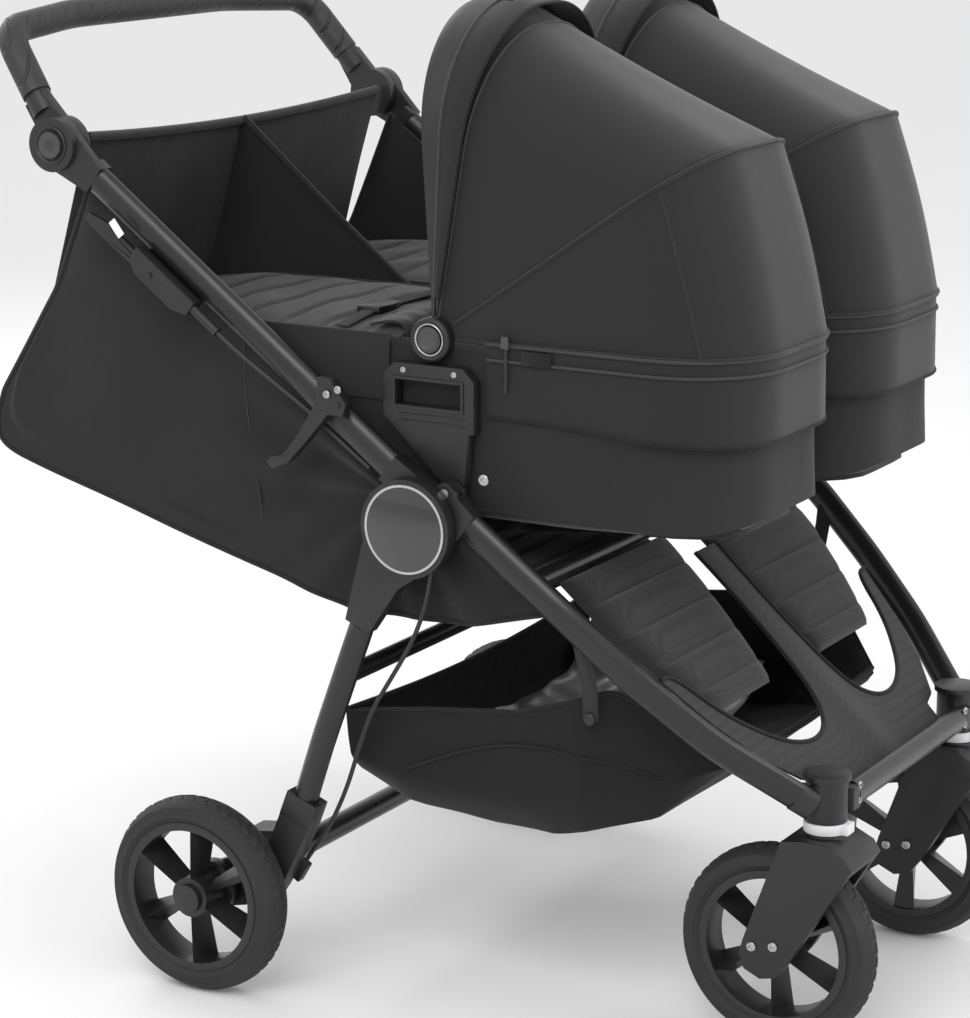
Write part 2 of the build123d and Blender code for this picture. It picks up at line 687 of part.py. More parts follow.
def side_panel():
    """Side of the seat: one sheet from the tubes down to the hem, with the seam that hangs it on the tube."""
    outline = [(-350, upper_line(-350)), (-409, 746), (-490, 624), (-500, 590), (-497, 570), (-480, 558),
               (-435, 545),
               (-31, 436), (110, 438), (205, 462), (214, 465), (184, 480), (166, 504), (125, 532), (70,
                   545), (52, 575), (28, upper_line(28))]
    sheet = prism(outline, seat_half, seat_half + cloth)
    seam = prism([(seam_rear, upper_line(seam_rear)), (seam_front, upper_line(seam_front)),
                  (seam_front, upper_line(seam_front, -cloth)), (seam_rear, upper_line(seam_rear, -cloth))],
                 seat_half + cloth / 2, knuckle_inner - clear)
    return sheet + seam


def seat_walls():
    """Rear wall between the side panels, and the divider between the two seats."""
    wall = prism([(-362, 914), (-366, 914), (-413, 747), (-494, 624), (-500, 600), (-496, 600), (-490, 622),
                  (-409, 745)],
                 -seat_half + clear, seat_half - clear)
    divider = prism([(-361.5, 912), (-150, 744), (0, 636), (0, 500), (-100, 478), (-470, 590), (-486, 615),
                     (-408, 740)], -4, 4)
    return [wall, divider]


def seat_back():
    """Reclined backrest pad of one seat."""
    return prism([(-22, 442), (-484, 576), (-480, 590), (-18, 456)], cloth + clear, seat_half - clear)


seat_bar = (190.0, 497.0)
seat_bar_radius = 9.0
calf_top = -12.0                # the calf pad starts here, close under the seat's front bar


def seat_pad():
    """Seat cushion and calf pad of one seat."""
    cushion = prism([(-16, 446), (-16, 458), (20, 474), (178, 480), (180, 466), (100, 452)], 4 + clear,
                    seat_half - clear)
    calf_plane = Plane(origin=(202.5, 0, 479), x_dir=(0.733, 0, -0.68), z_dir=(0.68, 0, 0.733))
    outline = Polygon((calf_top, 28), (calf_top, 268), (60, 262), (120, 240), (190, 205), (196, 62),
                      align=None)
    calf = extrude(calf_plane * outline, amount=-12)
    return [cushion, calf]


def footwell_apron():
    """Front apron with a spine up the middle and a U-shaped opening over each footwell."""
    slope = math.atan2(lower_route[1][2] - housing_low - 13, 456 - lower_route[1][0])
    plane = Plane(origin=(lower_route[1][0], 0, lower_route[1][2] + 4), x_dir=(math.cos(slope), 0,
                                                                               -math.sin(slope)),
                  z_dir=(math.sin(slope), 0, math.cos(slope)))
    half = [(12, 26), (60, 24), (150, 26), (215, 36), (246, 60), (256, 98), (246, 140), (225, 172),
            (180, 214),
            (120, 240), (118, 262), (186, 241), (240, 213), (282, 176), (289, 150), (322, 146)]
    outline = half + [(u, -v) for u, v in reversed(half)]
    return extrude(plane * Polygon(*outline, align=None), amount=-cloth)


basket_half = seat_half - 14


def basket():
    """Cloth tub under the seats, open at the top."""
    outline = [(-58, 314), (-46, 240), (10, 214), (190, 206), (290, 230), (358, 290), (302, 350),
               (256, 381), (157, 344)]
    outside = prism(outline, -basket_half, basket_half)
    for side in (-1, 1):
        wide = side * (basket_half + 2)
        wedge = Wire.make_polygon([Vector(230, wide, 100), Vector(420, wide, 100),
                                   Vector(420, wide - side * 116, 100)],
                                  close=True)
        outside -= Solid.extrude(Face(wedge), Vector(0, 0, 400))
    inner = [(-54, 330), (-43, 243), (11, 218), (190, 210), (288, 234), (352, 290), (299, 346), (256, 381),
             (250, 420)]
    inside = prism(inner, -basket_half + cloth, basket_half - cloth)
    for side in (-1, 1):
        wide = side * basket_half
        wedge = Wire.make_polygon([Vector(226, wide, 100), Vector(430, wide, 100),
                                   Vector(430, wide - side * 125, 100)],
                                  close=True)
        inside -= Solid.extrude(Face(wedge), Vector(0, 0, 400))
    return outside - inside + both_sides(basket_strap())


strap_x = (232.0, 250.0)
strap_thick = 1.6


def basket_strap():
    """Webbing loop that hangs the basket's rim on the lower tube."""
    loop = lower_tube(clear + strap_thick, strap_thick) & block((strap_x[0], tube_y - 29, 420),
                                                                (strap_x[1], tube_y + 21, 490))
    tail = [(basket_half - 6, 372), (basket_half - 4, 372), (tube_y - 13, 436), (tube_y - 15, 438)]
    wire = Wire.make_polygon([Vector(strap_x[0], y, z) for y, z in tail], close=True)
    hang = Solid.extrude(Face(wire), Vector(strap_x[1] - strap_x[0], 0, 0))
    return loop + (hang - lower_tube(clear, tube_wall + 4))


# ---- carrycots ------------------------------------------------------------------------------------
cot_middle_x = (cot_rear + cot_front) / 2
cot_middle_y = (cot_inner + cot_outer) / 2
cot_length = cot_front - cot_rear
cot_width = cot_outer - cot_inner


def cot_outline(extra):
    """The carrycot's plan, grown by extra."""
    return RectangleRounded(cot_length + 2 * extra, cot_width + 2 * extra, cot_corner + extra)


def cot_prism(extra, low, high):
    return Pos(cot_middle_x, cot_middle_y, low) * extrude(cot_outline(extra), amount=high - low)


def carrycot_shell():
    """Stiff body of the carrycot, open at the top, its rear end raised clear of the seat."""
    outside = cot_prism(0, cot_bottom, cot_rim)
    inside = cot_prism(-cot_wall, cot_bottom + cot_wall, cot_rim + 10)
    wedge = prism([(cot_rear - 10, cot_bottom - 10), (cot_rear + 95, cot_bottom - 10),
                   (cot_rear - 10, cot_bottom + 75)],
                  cot_inner - 10, cot_outer + 10)
    lift = prism([(cot_rear - 10, cot_bottom - 10), (cot_rear + 103, cot_bottom - 10),
                  (cot_rear + 103, cot_bottom + 5),
                  (cot_rear - 10, cot_bottom + 83)], cot_inner - 10, cot_outer + 10)
    nose = prism([(cot_front + 10, cot_bottom - 10), (cot_front - 34, cot_bottom - 10),
                  (cot_front + 10, cot_rim - 60)],
                 cot_inner - 10, cot_outer + 10)
    nose_in = prism([(cot_front + 10, cot_bottom - 10), (cot_front - 42, cot_bottom - 10),
                     (cot_front + 2, cot_rim - 60)],
                    cot_inner - 10, cot_outer + 10)
    return (outside - wedge - nose) - (inside - lift - nose_in)


def carrycot_mattress():
    slab = Pos(cot_middle_x + 31, cot_middle_y, cot_bottom + cot_wall + clear)
    outline = RectangleRounded(cot_length - 2 * cot_wall - 150, cot_width - 2 * cot_wall - 8, cot_corner - 20)
    return slab * extrude(outline, amount=30)


apron_front = 24.0
skirt_low = 663.0
skirt_thick = 2.2


def carrycot_apron():
    """Padded cover over the foot end, with a skirt round the outside."""
    top = cot_prism(skirt_thick + clear, cot_rim + clear, cot_rim + 16)
    skirt = cot_prism(skirt_thick + clear, skirt_low, cot_rim + clear) - cot_prism(clear, skirt_low - 5,
                                                                                   cot_rim + 5)
    keep = block((cot_rear - 20, 0, 600), (apron_front, 330, 800))
    return (top + skirt) & keep


hood_rear_angle = 87.0
hood_rib_angle = 34.0
hood_front_angle = 3.0


def arch(angle, reach, corner, inset):
    """A face across the hood in the plane through its hinge line at this angle above +X."""
    turned = math.radians(angle)
    plane = Plane(origin=(hood_hinge[0], cot_middle_y, hood_hinge[1]),
                  x_dir=(0, 1, 0), z_dir=(-math.sin(turned), 0, math.cos(turned)))
    half = cot_width / 2 - inset
    tall = -(reach - inset)
    low = -26.0 if inset == 0 else -10.0
    outline = Polygon((-half, low), (half, low), (half, tall), (-half, tall), align=None)
    corners = outline.vertices().sort_by(Axis.Y)[:2]
    rounded = fillet(corners, corner - inset)
    return (plane * rounded).face()


def hood_fabric():
    """Hood of the carrycot: taut cloth over two bows, open towards the rear, with a skirt below."""
    skin = 3.0
    outer = loft([arch(hood_rear_angle, 330, 128, 0), arch(hood_rib_angle, 366, 104, 0)], ruled=True)
    outer += loft([arch(hood_rib_angle, 366, 104, 0), arch(hood_front_angle, 362, 97, 0)], ruled=True)
    inner = loft([arch(hood_rear_angle + 6, 330, 128, skin), arch(hood_rib_angle, 366, 104, skin)],
                 ruled=True)
    inner += loft([arch(hood_rib_angle, 366, 104, skin), arch(hood_front_angle - 8, 362, 97, skin)],
                  ruled=True)
    dome = outer - inner
    dome &= block((20, 0, cot_rim + clear), (600, 330, 1300))
    skirt = cot_prism(skirt_thick + clear, 650, cot_rim + 12) - cot_prism(clear - 0.1, 640, cot_rim + 20)
    skirt &= block((130, 0, 600), (600, 330, 800))
    return dome, skirt


hoop_inner_offset = 0.6
hoop_thick = 4.0
hub_disc = 23.0


def hood_hoop():
    """Rear bow of the hood with its two hinge hubs."""
    turned = math.radians(hood_rear_angle + 0.1)
    def bow(grow):
        plane = Plane(origin=(hood_hinge[0], cot_middle_y, hood_hinge[1]),
                      x_dir=(0, 1, 0), z_dir=(-math.sin(turned), 0, math.cos(turned)))
        half = cot_width / 2 + grow
        tall = -(330 + grow)
        outline = Polygon((-half, -12), (half, -12), (half, tall), (-half, tall), align=None)
        corners = outline.vertices().sort_by(Axis.Y)[:2]
        return plane * fillet(corners, 128 + grow)
    section = bow(hoop_inner_offset + hoop_thick) - bow(hoop_inner_offset)
    line = Axis((hood_hinge[0], 0, hood_hinge[1]), (0, -1, 0))
    band = revolve(section, axis=line, revolution_arc=6.5)
    piece = band
    for y_low, y_high in ((cot_outer + hoop_inner_offset, cot_outer + 12),
                          (cot_inner - 7, cot_inner - hoop_inner_offset)):
        piece += round_y(hood_hinge, hub_disc, y_low, y_high)
    piece -= round_y(hood_hinge, 13 + clear, cot_outer + 7, cot_outer + 20)
    return piece


def hood_button():
    return round_y(hood_hinge, 13, cot_outer + 10, cot_outer + 14)


# ---- build ---------------------------------------------------------------------------------------
save("lower_tubes", both_sides(lower_tube()))
save("front_cross_tube", front_cross_tube())
save("caster_housings", both_sides(caster_housing()))
save("fold_knuckles", both_sides(lower_knuckle()))
fold_pin = round_y(fold_pivot, pin_radius, knuckle_inner + 0.5, knuckle_outer + 1)
leg_pin = round_y(leg_pivot, pin_radius, knuckle_inner + 1, leg_outer - 5.2)
save("pivot_pins", both_sides(fold_pin), both_sides(leg_pin))
save("seat_front_bar", round_y(seat_bar, seat_bar_radius, -knuckle_inner + touch, knuckle_inner - touch))
save("footwell_apron", footwell_apron())
seat_pieces = seat_pad()
save("seat_pads", both_sides(seat_pieces[0]), both_sides(seat_pieces[1]))
save("seat_backs", both_sides(seat_back()))
save("side_panels", both_sides(side_panel()))
save("seat_walls", seat_walls())
save("basket", basket())

save("upper_tubes", both_sides(upper_tube()))
save("upper_knuckles", both_sides(upper_knuckle()))
save("handle_sockets", both_sides(handle_socket()))
save("brake_bracket", brake_bracket(), lever_rivet())
save("brake_lever", brake_lever())
save("latch_hook", latch_hook())
upper_cable, upper_radii = cable(upper_cable_route)
save("brake_cable_upper", upper_cable)
lower_cable, lower_cable_radii = cable(lower_cable_route)
save("brake_cable_lower", lower_cable)
print("cable radii", [round(r) for r in upper_radii + lower_cable_radii])

save("handlebar_tube", handlebar_sweep(bar_radius, bar_radius - 1.8))
save("handlebar_grip", handlebar_sweep(grip_radius, bar_radius + touch))
save("handle_ends", both_sides(handle_end()))
left_button = handle_button()
save("handle_button_left", left_button)
save("handle_button_right", mirror(left_button, about=Plane.XZ))

save("leg_housings", both_sides(leg_housing()))
save("hub_rings", both_sides(hub_ring()))
save("hub_covers", both_sides(hub_cover()))
save("rear_legs", both_sides(rear_leg()))
save("foot_sockets", both_sides(foot_socket()))
save("rear_axle_tube", round_y(axle_tube, axle_tube_radius, -foot_inner - 3, foot_inner + 3))
save("rear_cross_tube", round_y(cross_tube, cross_tube_radius, -cross_tube_half, cross_tube_half))
save("wheel_axles", both_sides(wheel_axle()))
save("brake_drums", both_sides(brake_drum()))

for side, sign in (("left", 1), ("right", -1)):
    save("rear_rim_" + side, rim((rear_hub_x, rear_axle_z), sign * rear_wheel_y, 22, rear_barrel_half),
         rear_cap(sign * rear_wheel_y))
    save("rear_tyre_" + side, tyre((rear_hub_x, rear_axle_z), sign * rear_wheel_y))
    save("front_rim_" + side, rim((front_hub_x, wheel_radius), sign * caster_y, 18, 22))
    save("front_tyre_" + side, tyre((front_hub_x, wheel_radius), sign * caster_y))
    save("fork_" + side, fork(sign * caster_y))
    save("swivel_lock_" + side, swivel_lock(sign * caster_y))

shell = carrycot_shell()
mattress = carrycot_mattress()
apron = carrycot_apron()
bracket = mount_bracket()
dome, skirt = hood_fabric()
hoop = hood_hoop()
button = hood_button()
for name, pieces in (("carrycot_shell", [shell]), ("carrycot_mattress", [mattress]),
                     ("carrycot_apron", [apron]),
                     ("carrycot_bracket", [bracket]), ("hood_fabric", [dome, skirt]), ("hood_hoop", [hoop]),
                     ("hood_button", [button])):
    save(name + "_left", pieces)
    save(name + "_right", [mirror(one, about=Plane.XZ) for one in pieces])
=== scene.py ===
# %% [markdown]
# # A side-by-side pushchair with two carrycots
# The frame, wheels and moulded parts arrive as a fixed CAD model, in metres, +X forwards and +Z up.
# This lesson gives those parts their finishes, and makes everything that is cloth, padding, piping or
# small trim. Each piece is modelled, given a material, and set to ride on the CAD body that carries it.

# %% Load the frame
import bpy
import math
import json
from mathutils import Matrix, Vector

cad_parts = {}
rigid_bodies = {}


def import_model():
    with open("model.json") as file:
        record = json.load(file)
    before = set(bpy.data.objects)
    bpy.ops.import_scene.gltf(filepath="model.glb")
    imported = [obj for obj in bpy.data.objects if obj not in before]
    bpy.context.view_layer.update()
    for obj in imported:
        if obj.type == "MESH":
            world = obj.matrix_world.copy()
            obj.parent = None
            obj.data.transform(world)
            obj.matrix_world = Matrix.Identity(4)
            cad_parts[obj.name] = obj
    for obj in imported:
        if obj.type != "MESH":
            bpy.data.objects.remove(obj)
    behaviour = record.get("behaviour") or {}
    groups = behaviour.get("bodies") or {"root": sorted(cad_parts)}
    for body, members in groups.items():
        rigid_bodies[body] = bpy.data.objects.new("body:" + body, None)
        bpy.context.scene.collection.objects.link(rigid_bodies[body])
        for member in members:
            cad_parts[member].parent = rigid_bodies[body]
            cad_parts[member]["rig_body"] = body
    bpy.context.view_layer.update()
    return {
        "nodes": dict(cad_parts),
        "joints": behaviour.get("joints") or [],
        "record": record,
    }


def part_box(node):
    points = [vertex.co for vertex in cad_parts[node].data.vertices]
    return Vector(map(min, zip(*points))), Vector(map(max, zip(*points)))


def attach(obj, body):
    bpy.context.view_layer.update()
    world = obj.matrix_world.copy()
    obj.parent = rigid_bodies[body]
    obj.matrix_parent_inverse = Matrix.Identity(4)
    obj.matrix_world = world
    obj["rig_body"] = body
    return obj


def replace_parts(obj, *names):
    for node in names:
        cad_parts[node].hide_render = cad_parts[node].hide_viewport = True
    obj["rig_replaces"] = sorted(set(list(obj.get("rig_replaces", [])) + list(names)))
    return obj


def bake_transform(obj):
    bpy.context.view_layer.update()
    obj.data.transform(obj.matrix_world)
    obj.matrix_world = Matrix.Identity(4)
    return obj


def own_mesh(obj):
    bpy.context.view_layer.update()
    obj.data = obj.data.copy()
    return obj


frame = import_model()
record = frame["record"]

# %% [markdown]
# ## Camera, floor and light
# The camera stands low, in front and to the right of the pushchair, with a long lens, so the tubes
# stay nearly parallel. The object is almost black, so the light has to come from large pale sources:
# what the eye reads is their soft reflection in cloth and tubes. A pale floor and a pale world give
# the even light of a studio, and three big area lamps give the tubes a long highlight.

# %% Camera
VIEW_FROM = Vector((1.6465, -2.951, 1.291))
VIEW_AZIMUTH = math.radians(29.8)
VIEW_ELEVATION = math.radians(13.4)
bpy.ops.object.camera_add(location=VIEW_FROM)
camera = bpy.context.object
camera.rotation_euler = (math.pi / 2 - VIEW_ELEVATION, 0, VIEW_AZIMUTH)
camera.data.lens = 109.0
camera.data.sensor_width = 36.0
bpy.context.scene.camera = camera
print("camera at", tuple(round(c, 2) for c in camera.location))

# %% Floor and world
bpy.ops.object.select_all(action="DESELECT")
bpy.ops.mesh.primitive_plane_add(size=60, location=(0, 0, -0.0005))
floor = bpy.context.object
floor.name = "studio_floor"
world = bpy.data.worlds.new("studio")
bpy.context.scene.world = world
world.use_nodes = True
world.node_tree.nodes["Background"].inputs["Color"].default_value = (1.0, 1.0, 1.0, 1.0)
world.node_tree.nodes["Background"].inputs["Strength"].default_value = 1.0
bpy.context.scene.view_settings.view_transform = "Standard"


# %% Soft lamps
def area_lamp(name, place, target, width, height, power):
    """A rectangular soft lamp that points at a place."""
    bpy.ops.object.light_add(type="AREA", location=place)
    lamp = bpy.context.object
    lamp.name = name
    lamp.data.shape = "RECTANGLE"
    lamp.data.size = width
    lamp.data.size_y = height
    lamp.data.energy = power
    lamp.rotation_euler = (Vector(target) - Vector(place)).to_track_quat("-Z", "Y").to_euler()
    return lamp


HEART = (0.0, 0.0, 0.55)
area_lamp("key", (0.6, -3.0, 3.0), HEART, 2.6, 1.8, 60)
area_lamp("rim", (-3.0, 1.2, 2.6), HEART, 2.2, 1.6, 45)
area_lamp("front", (3.2, 0.6, 1.8), HEART, 1.6, 2.2, 35)

# %% [markdown]
# ## Effects that the finishes share
# Three small node groups hold what several materials need: a plain weave, a fine moulded grain, and a
# slow variation of tone and shine, as handling and dust leave it. Each gives out only values, and the
# shader stays in the material, so that every finish can be tuned by itself.


# %% A helper for node trees
class Tree:
    """Adds nodes and links to one node tree with short calls."""

    def __init__(self, tree):
        self.tree = tree

    def add(self, kind, **values):
        node = self.tree.nodes.new(kind)
        for key, value in values.items():
            setattr(node, key, value)
        return node

    def link(self, out_socket, in_socket):
        self.tree.links.new(out_socket, in_socket)

    def math(self, operation, first, second=None):
        """A Math node whose inputs are sockets or numbers."""
        node = self.add("ShaderNodeMath", operation=operation)
        for place, value in enumerate((first, second)):
            if value is None:
                continue
            if isinstance(value, (int, float)):
                node.inputs[place].default_value = value
            else:
                self.link(value, node.inputs[place])
        return node.outputs[0]


def new_group(name, inputs, outputs):
    """An empty node group with its sockets; returns the group, its tree helper and both end nodes."""
    group = bpy.data.node_groups.new(name, "ShaderNodeTree")
    for label, kind, value in inputs:
        socket = group.interface.new_socket(label, in_out="INPUT", socket_type=kind)
        if value is not None:
            socket.default_value = value
    for label in outputs:
        group.interface.new_socket(label, in_out="OUTPUT", socket_type="NodeSocketFloat")
    tree = Tree(group)
    return group, tree, tree.add("NodeGroupInput"), tree.add("NodeGroupOutput")


# %% The weave
def build_weave():
    """Plain weave: threads over and under each other, in the two directions of the coordinate."""
    group, tree, start, end = new_group(
        "plain weave", [("Vector", "NodeSocketVector", None),
                        ("Thread", "NodeSocketFloat", 0.0008)], ["Height", "Tone"])
    split = tree.add("ShaderNodeSeparateXYZ")
    tree.link(start.outputs["Vector"], split.inputs[0])
    across = tree.math("SINE", tree.math("DIVIDE", tree.math("MULTIPLY", split.outputs[0], math.tau),
                                         start.outputs["Thread"]))
    down = tree.math("SINE", tree.math("DIVIDE", tree.math("MULTIPLY", split.outputs[1], math.tau),
                                       start.outputs["Thread"]))
    depth = tree.math("SINE", tree.math("DIVIDE", tree.math("MULTIPLY", split.outputs[2], math.tau),
                                        start.outputs["Thread"]))
    crossing = tree.math("ADD", tree.math("MULTIPLY", across, down), tree.math("MULTIPLY", down, depth))
    crossing = tree.math("ADD", crossing, tree.math("MULTIPLY", depth, across))
    height = tree.math("ADD", tree.math("MULTIPLY", crossing, 0.35), 0.5)
    slub = tree.add("ShaderNodeTexNoise")
    slub.inputs["Scale"].default_value = 900.0
    slub.inputs["Detail"].default_value = 1.0
    tree.link(start.outputs["Vector"], slub.inputs["Vector"])
    tree.link(height, end.inputs["Height"])
    tree.link(tree.math("MULTIPLY", height, slub.outputs["Fac"]), end.inputs["Tone"])
    return group


def build_grain():
    """The fine pebbled grain of a moulded or wrapped surface."""
    group, tree, start, end = new_group(
        "moulded grain", [("Vector", "NodeSocketVector", None),
                          ("Scale", "NodeSocketFloat", 900.0)], ["Height", "Tone"])
    cells = tree.add("ShaderNodeTexVoronoi", feature="SMOOTH_F1")
    fine = tree.add("ShaderNodeTexNoise")
    fine.inputs["Detail"].default_value = 3.0
    for node in (cells, fine):
        tree.link(start.outputs["Vector"], node.inputs["Vector"])
        tree.link(start.outputs["Scale"], node.inputs["Scale"])
    tree.link(tree.math("ADD", cells.outputs["Distance"], tree.math("MULTIPLY", fine.outputs["Fac"], 0.4)),
              end.inputs["Height"])
    tree.link(fine.outputs["Fac"], end.inputs["Tone"])
    return group


def build_handling():
    """Slow patches of shine and dust: 0 where clean, 1 where worn."""
    group, tree, start, end = new_group(
        "handling", [("Vector", "NodeSocketVector", None), ("Scale", "NodeSocketFloat", 9.0)], ["Mask",
                                                            "Streak"])
    broad = tree.add("ShaderNodeTexNoise")
    broad.inputs["Detail"].default_value = 5.0
    broad.inputs["Roughness"].default_value = 0.6
    tree.link(start.outputs["Vector"], broad.inputs["Vector"])
    tree.link(start.outputs["Scale"], broad.inputs["Scale"])
    ramp = tree.add("ShaderNodeMapRange")
    ramp.inputs["From Min"].default_value = 0.35
    ramp.inputs["From Max"].default_value = 0.7
    tree.link(broad.outputs["Fac"], ramp.inputs["Value"])
    streaks = tree.add("ShaderNodeTexNoise")
    streaks.inputs["Detail"].default_value = 2.0
    tree.link(start.outputs["Vector"], streaks.inputs["Vector"])
    tree.link(tree.math("MULTIPLY", start.outputs["Scale"], 30.0), streaks.inputs["Scale"])
    tree.link(ramp.outputs["Result"], end.inputs["Mask"])
    tree.link(streaks.outputs["Fac"], end.inputs["Streak"])
    return group


WEAVE = build_weave()
GRAIN = build_grain()
HANDLING = build_handling()
print("shared effects:", WEAVE.name, GRAIN.name, HANDLING.name)

# %% [markdown]
# ## Finishes
# Every finish is a Principled shader with its own numbers. `finish_base` makes the part that all of
# them share: a colour that varies slowly between two tones, a roughness that varies with it, and one
# or more bumps. Cloth adds sheen, which is what makes black cloth look like cloth and not like plastic.


# %% The common part of a finish
def finish_base(name, dark, light, rough_low, rough_high, coordinates, pattern, pattern_values, bump,
                patch_scale=9.0):
    """A material with tone, roughness and relief from one shared pattern; returns it, its tree and shader."""
    material = bpy.data.materials.new(name)
    material.use_nodes = True
    tree = Tree(material.node_tree)
    shader = material.node_tree.nodes["Principled BSDF"]
    place = tree.add("ShaderNodeTexCoord")
    relief = tree.add("ShaderNodeGroup", node_tree=pattern)
    tree.link(place.outputs[coordinates], relief.inputs["Vector"])
    for label, value in pattern_values.items():
        relief.inputs[label].default_value = value
    patches = tree.add("ShaderNodeGroup", node_tree=HANDLING)
    tree.link(place.outputs["Object"], patches.inputs["Vector"])
    patches.inputs["Scale"].default_value = patch_scale
    tone = tree.math("ADD", tree.math("MULTIPLY", relief.outputs["Tone"], 0.6),
                     tree.math("MULTIPLY", patches.outputs["Mask"], 0.4))
    colour = tree.add("ShaderNodeMix", data_type="RGBA")
    colour.inputs["A"].default_value = (*dark, 1.0)
    colour.inputs["B"].default_value = (*light, 1.0)
    tree.link(tone, colour.inputs["Factor"])
    tree.link(colour.outputs["Result"], shader.inputs["Base Color"])
    rough = tree.add("ShaderNodeMapRange")
    rough.inputs["To Min"].default_value = rough_low
    rough.inputs["To Max"].default_value = rough_high
    tree.link(patches.outputs["Mask"], rough.inputs["Value"])
    tree.link(rough.outputs["Result"], shader.inputs["Roughness"])
    bumper = tree.add("ShaderNodeBump")
    bumper.inputs["Strength"].default_value = bump[0]
    bumper.inputs["Distance"].default_value = bump[1]
    tree.link(relief.outputs["Height"], bumper.inputs["Height"])
    tree.link(bumper.outputs["Normal"], shader.inputs["Normal"])
    return material, tree, shader, bumper


def grey(level, warm=0.0):
    """A near-neutral colour of this brightness."""
    return (level * (1 + warm), level, level * (1 + 0.03 - warm))


# %% Cloth
def cloth(name, level, thread, coordinates="UV", sheen=0.25, rough=0.82, wrinkle=0.0, bump=0.35):
    """Woven cloth: threads, a little sheen, and soft waviness."""
    material, tree, shader, bumper = finish_base(
        name, grey(level * 0.72), grey(level * 1.35), rough - 0.06, rough + 0.05, coordinates, WEAVE,
        {"Thread": thread}, (bump, thread * 0.5), 6.0)
    shader.inputs["Sheen Weight"].default_value = sheen
    shader.inputs["Sheen Roughness"].default_value = 0.45
    shader.inputs["Specular IOR Level"].default_value = 0.3
    if wrinkle:
        place = tree.add("ShaderNodeTexCoord")
        waves = tree.add("ShaderNodeTexNoise")
        waves.inputs["Scale"].default_value = 14.0
        waves.inputs["Detail"].default_value = 2.5
        tree.link(place.outputs["Object"], waves.inputs["Vector"])
        soft = tree.add("ShaderNodeBump")
        soft.inputs["Strength"].default_value = wrinkle
        soft.inputs["Distance"].default_value = 0.01
        tree.link(waves.outputs["Fac"], soft.inputs["Height"])
        tree.link(soft.outputs["Normal"], bumper.inputs["Normal"])
    return material


# %% Moulded plastic, coated metal, bare metal
def moulded(name, level, rough=0.45, grain=1100.0, relief=0.18, coat=0.0):
    """Moulded plastic with a fine spark-eroded grain."""
    material, tree, shader, bumper = finish_base(
        name, grey(level * 0.85), grey(level * 1.25), rough - 0.06, rough + 0.1, "Object", GRAIN,
        {"Scale": grain}, (relief, 0.0004), 14.0)
    shader.inputs["Coat Weight"].default_value = coat
    return material


def coated_metal(name, level, rough=0.32):
    """Powder-coated tube: satin, with the fine orange peel of the coating."""
    material, tree, shader, bumper = finish_base(
        name, grey(level * 0.85), grey(level * 1.2), rough - 0.05, rough + 0.1, "Object", GRAIN,
        {"Scale": 500.0}, (0.08, 0.0004), 7.0)
    shader.inputs["Metallic"].default_value = 0.35
    shader.inputs["Coat Weight"].default_value = 0.25
    shader.inputs["Coat Roughness"].default_value = 0.25
    return material


def bare_metal(name, level, rough=0.25):
    """Zinc-plated or brushed metal."""
    material, tree, shader, bumper = finish_base(
        name, grey(level * 0.85), grey(level * 1.1), rough - 0.06, rough + 0.15, "Object", GRAIN,
        {"Scale": 1600.0}, (0.06, 0.0003), 30.0)
    shader.inputs["Metallic"].default_value = 1.0
    return material


# %% Wrapped grip: slanting seams round the bar
def wrapped_grip(name):
    """Soft wrap: a seam runs slanting round the bar every 26 mm, with a fine leather grain between."""
    material, tree, shader, bumper = finish_base(
        name, grey(0.012), grey(0.03), 0.5, 0.66, "Object", GRAIN, {"Scale": 650.0}, (0.3, 0.0005), 12.0)
    place = tree.add("ShaderNodeTexCoord")
    split = tree.add("ShaderNodeSeparateXYZ")
    tree.link(place.outputs["Object"], split.inputs[0])
    slant = tree.math("ADD", split.outputs[1], tree.math("MULTIPLY", tree.math("SUBTRACT", split.outputs[0],
                                                            split.outputs[2]), 0.55))
    turn = tree.math("FRACT", tree.math("DIVIDE", slant, 0.026))
    edge = tree.math("ABSOLUTE", tree.math("SUBTRACT", turn, 0.5))
    groove = tree.add("ShaderNodeMapRange", interpolation_type="SMOOTHSTEP")
    groove.inputs["From Min"].default_value = 0.40
    groove.inputs["From Max"].default_value = 0.49
    groove.inputs["To Min"].default_value = 1.0
    groove.inputs["To Max"].default_value = 0.0
    tree.link(edge, groove.inputs["Value"])
    seam = tree.add("ShaderNodeBump")
    seam.inputs["Strength"].default_value = 1.0
    seam.inputs["Distance"].default_value = 0.0022
    tree.link(groove.outputs["Result"], seam.inputs["Height"])
    tree.link(seam.outputs["Normal"], bumper.inputs["Normal"])
    return material


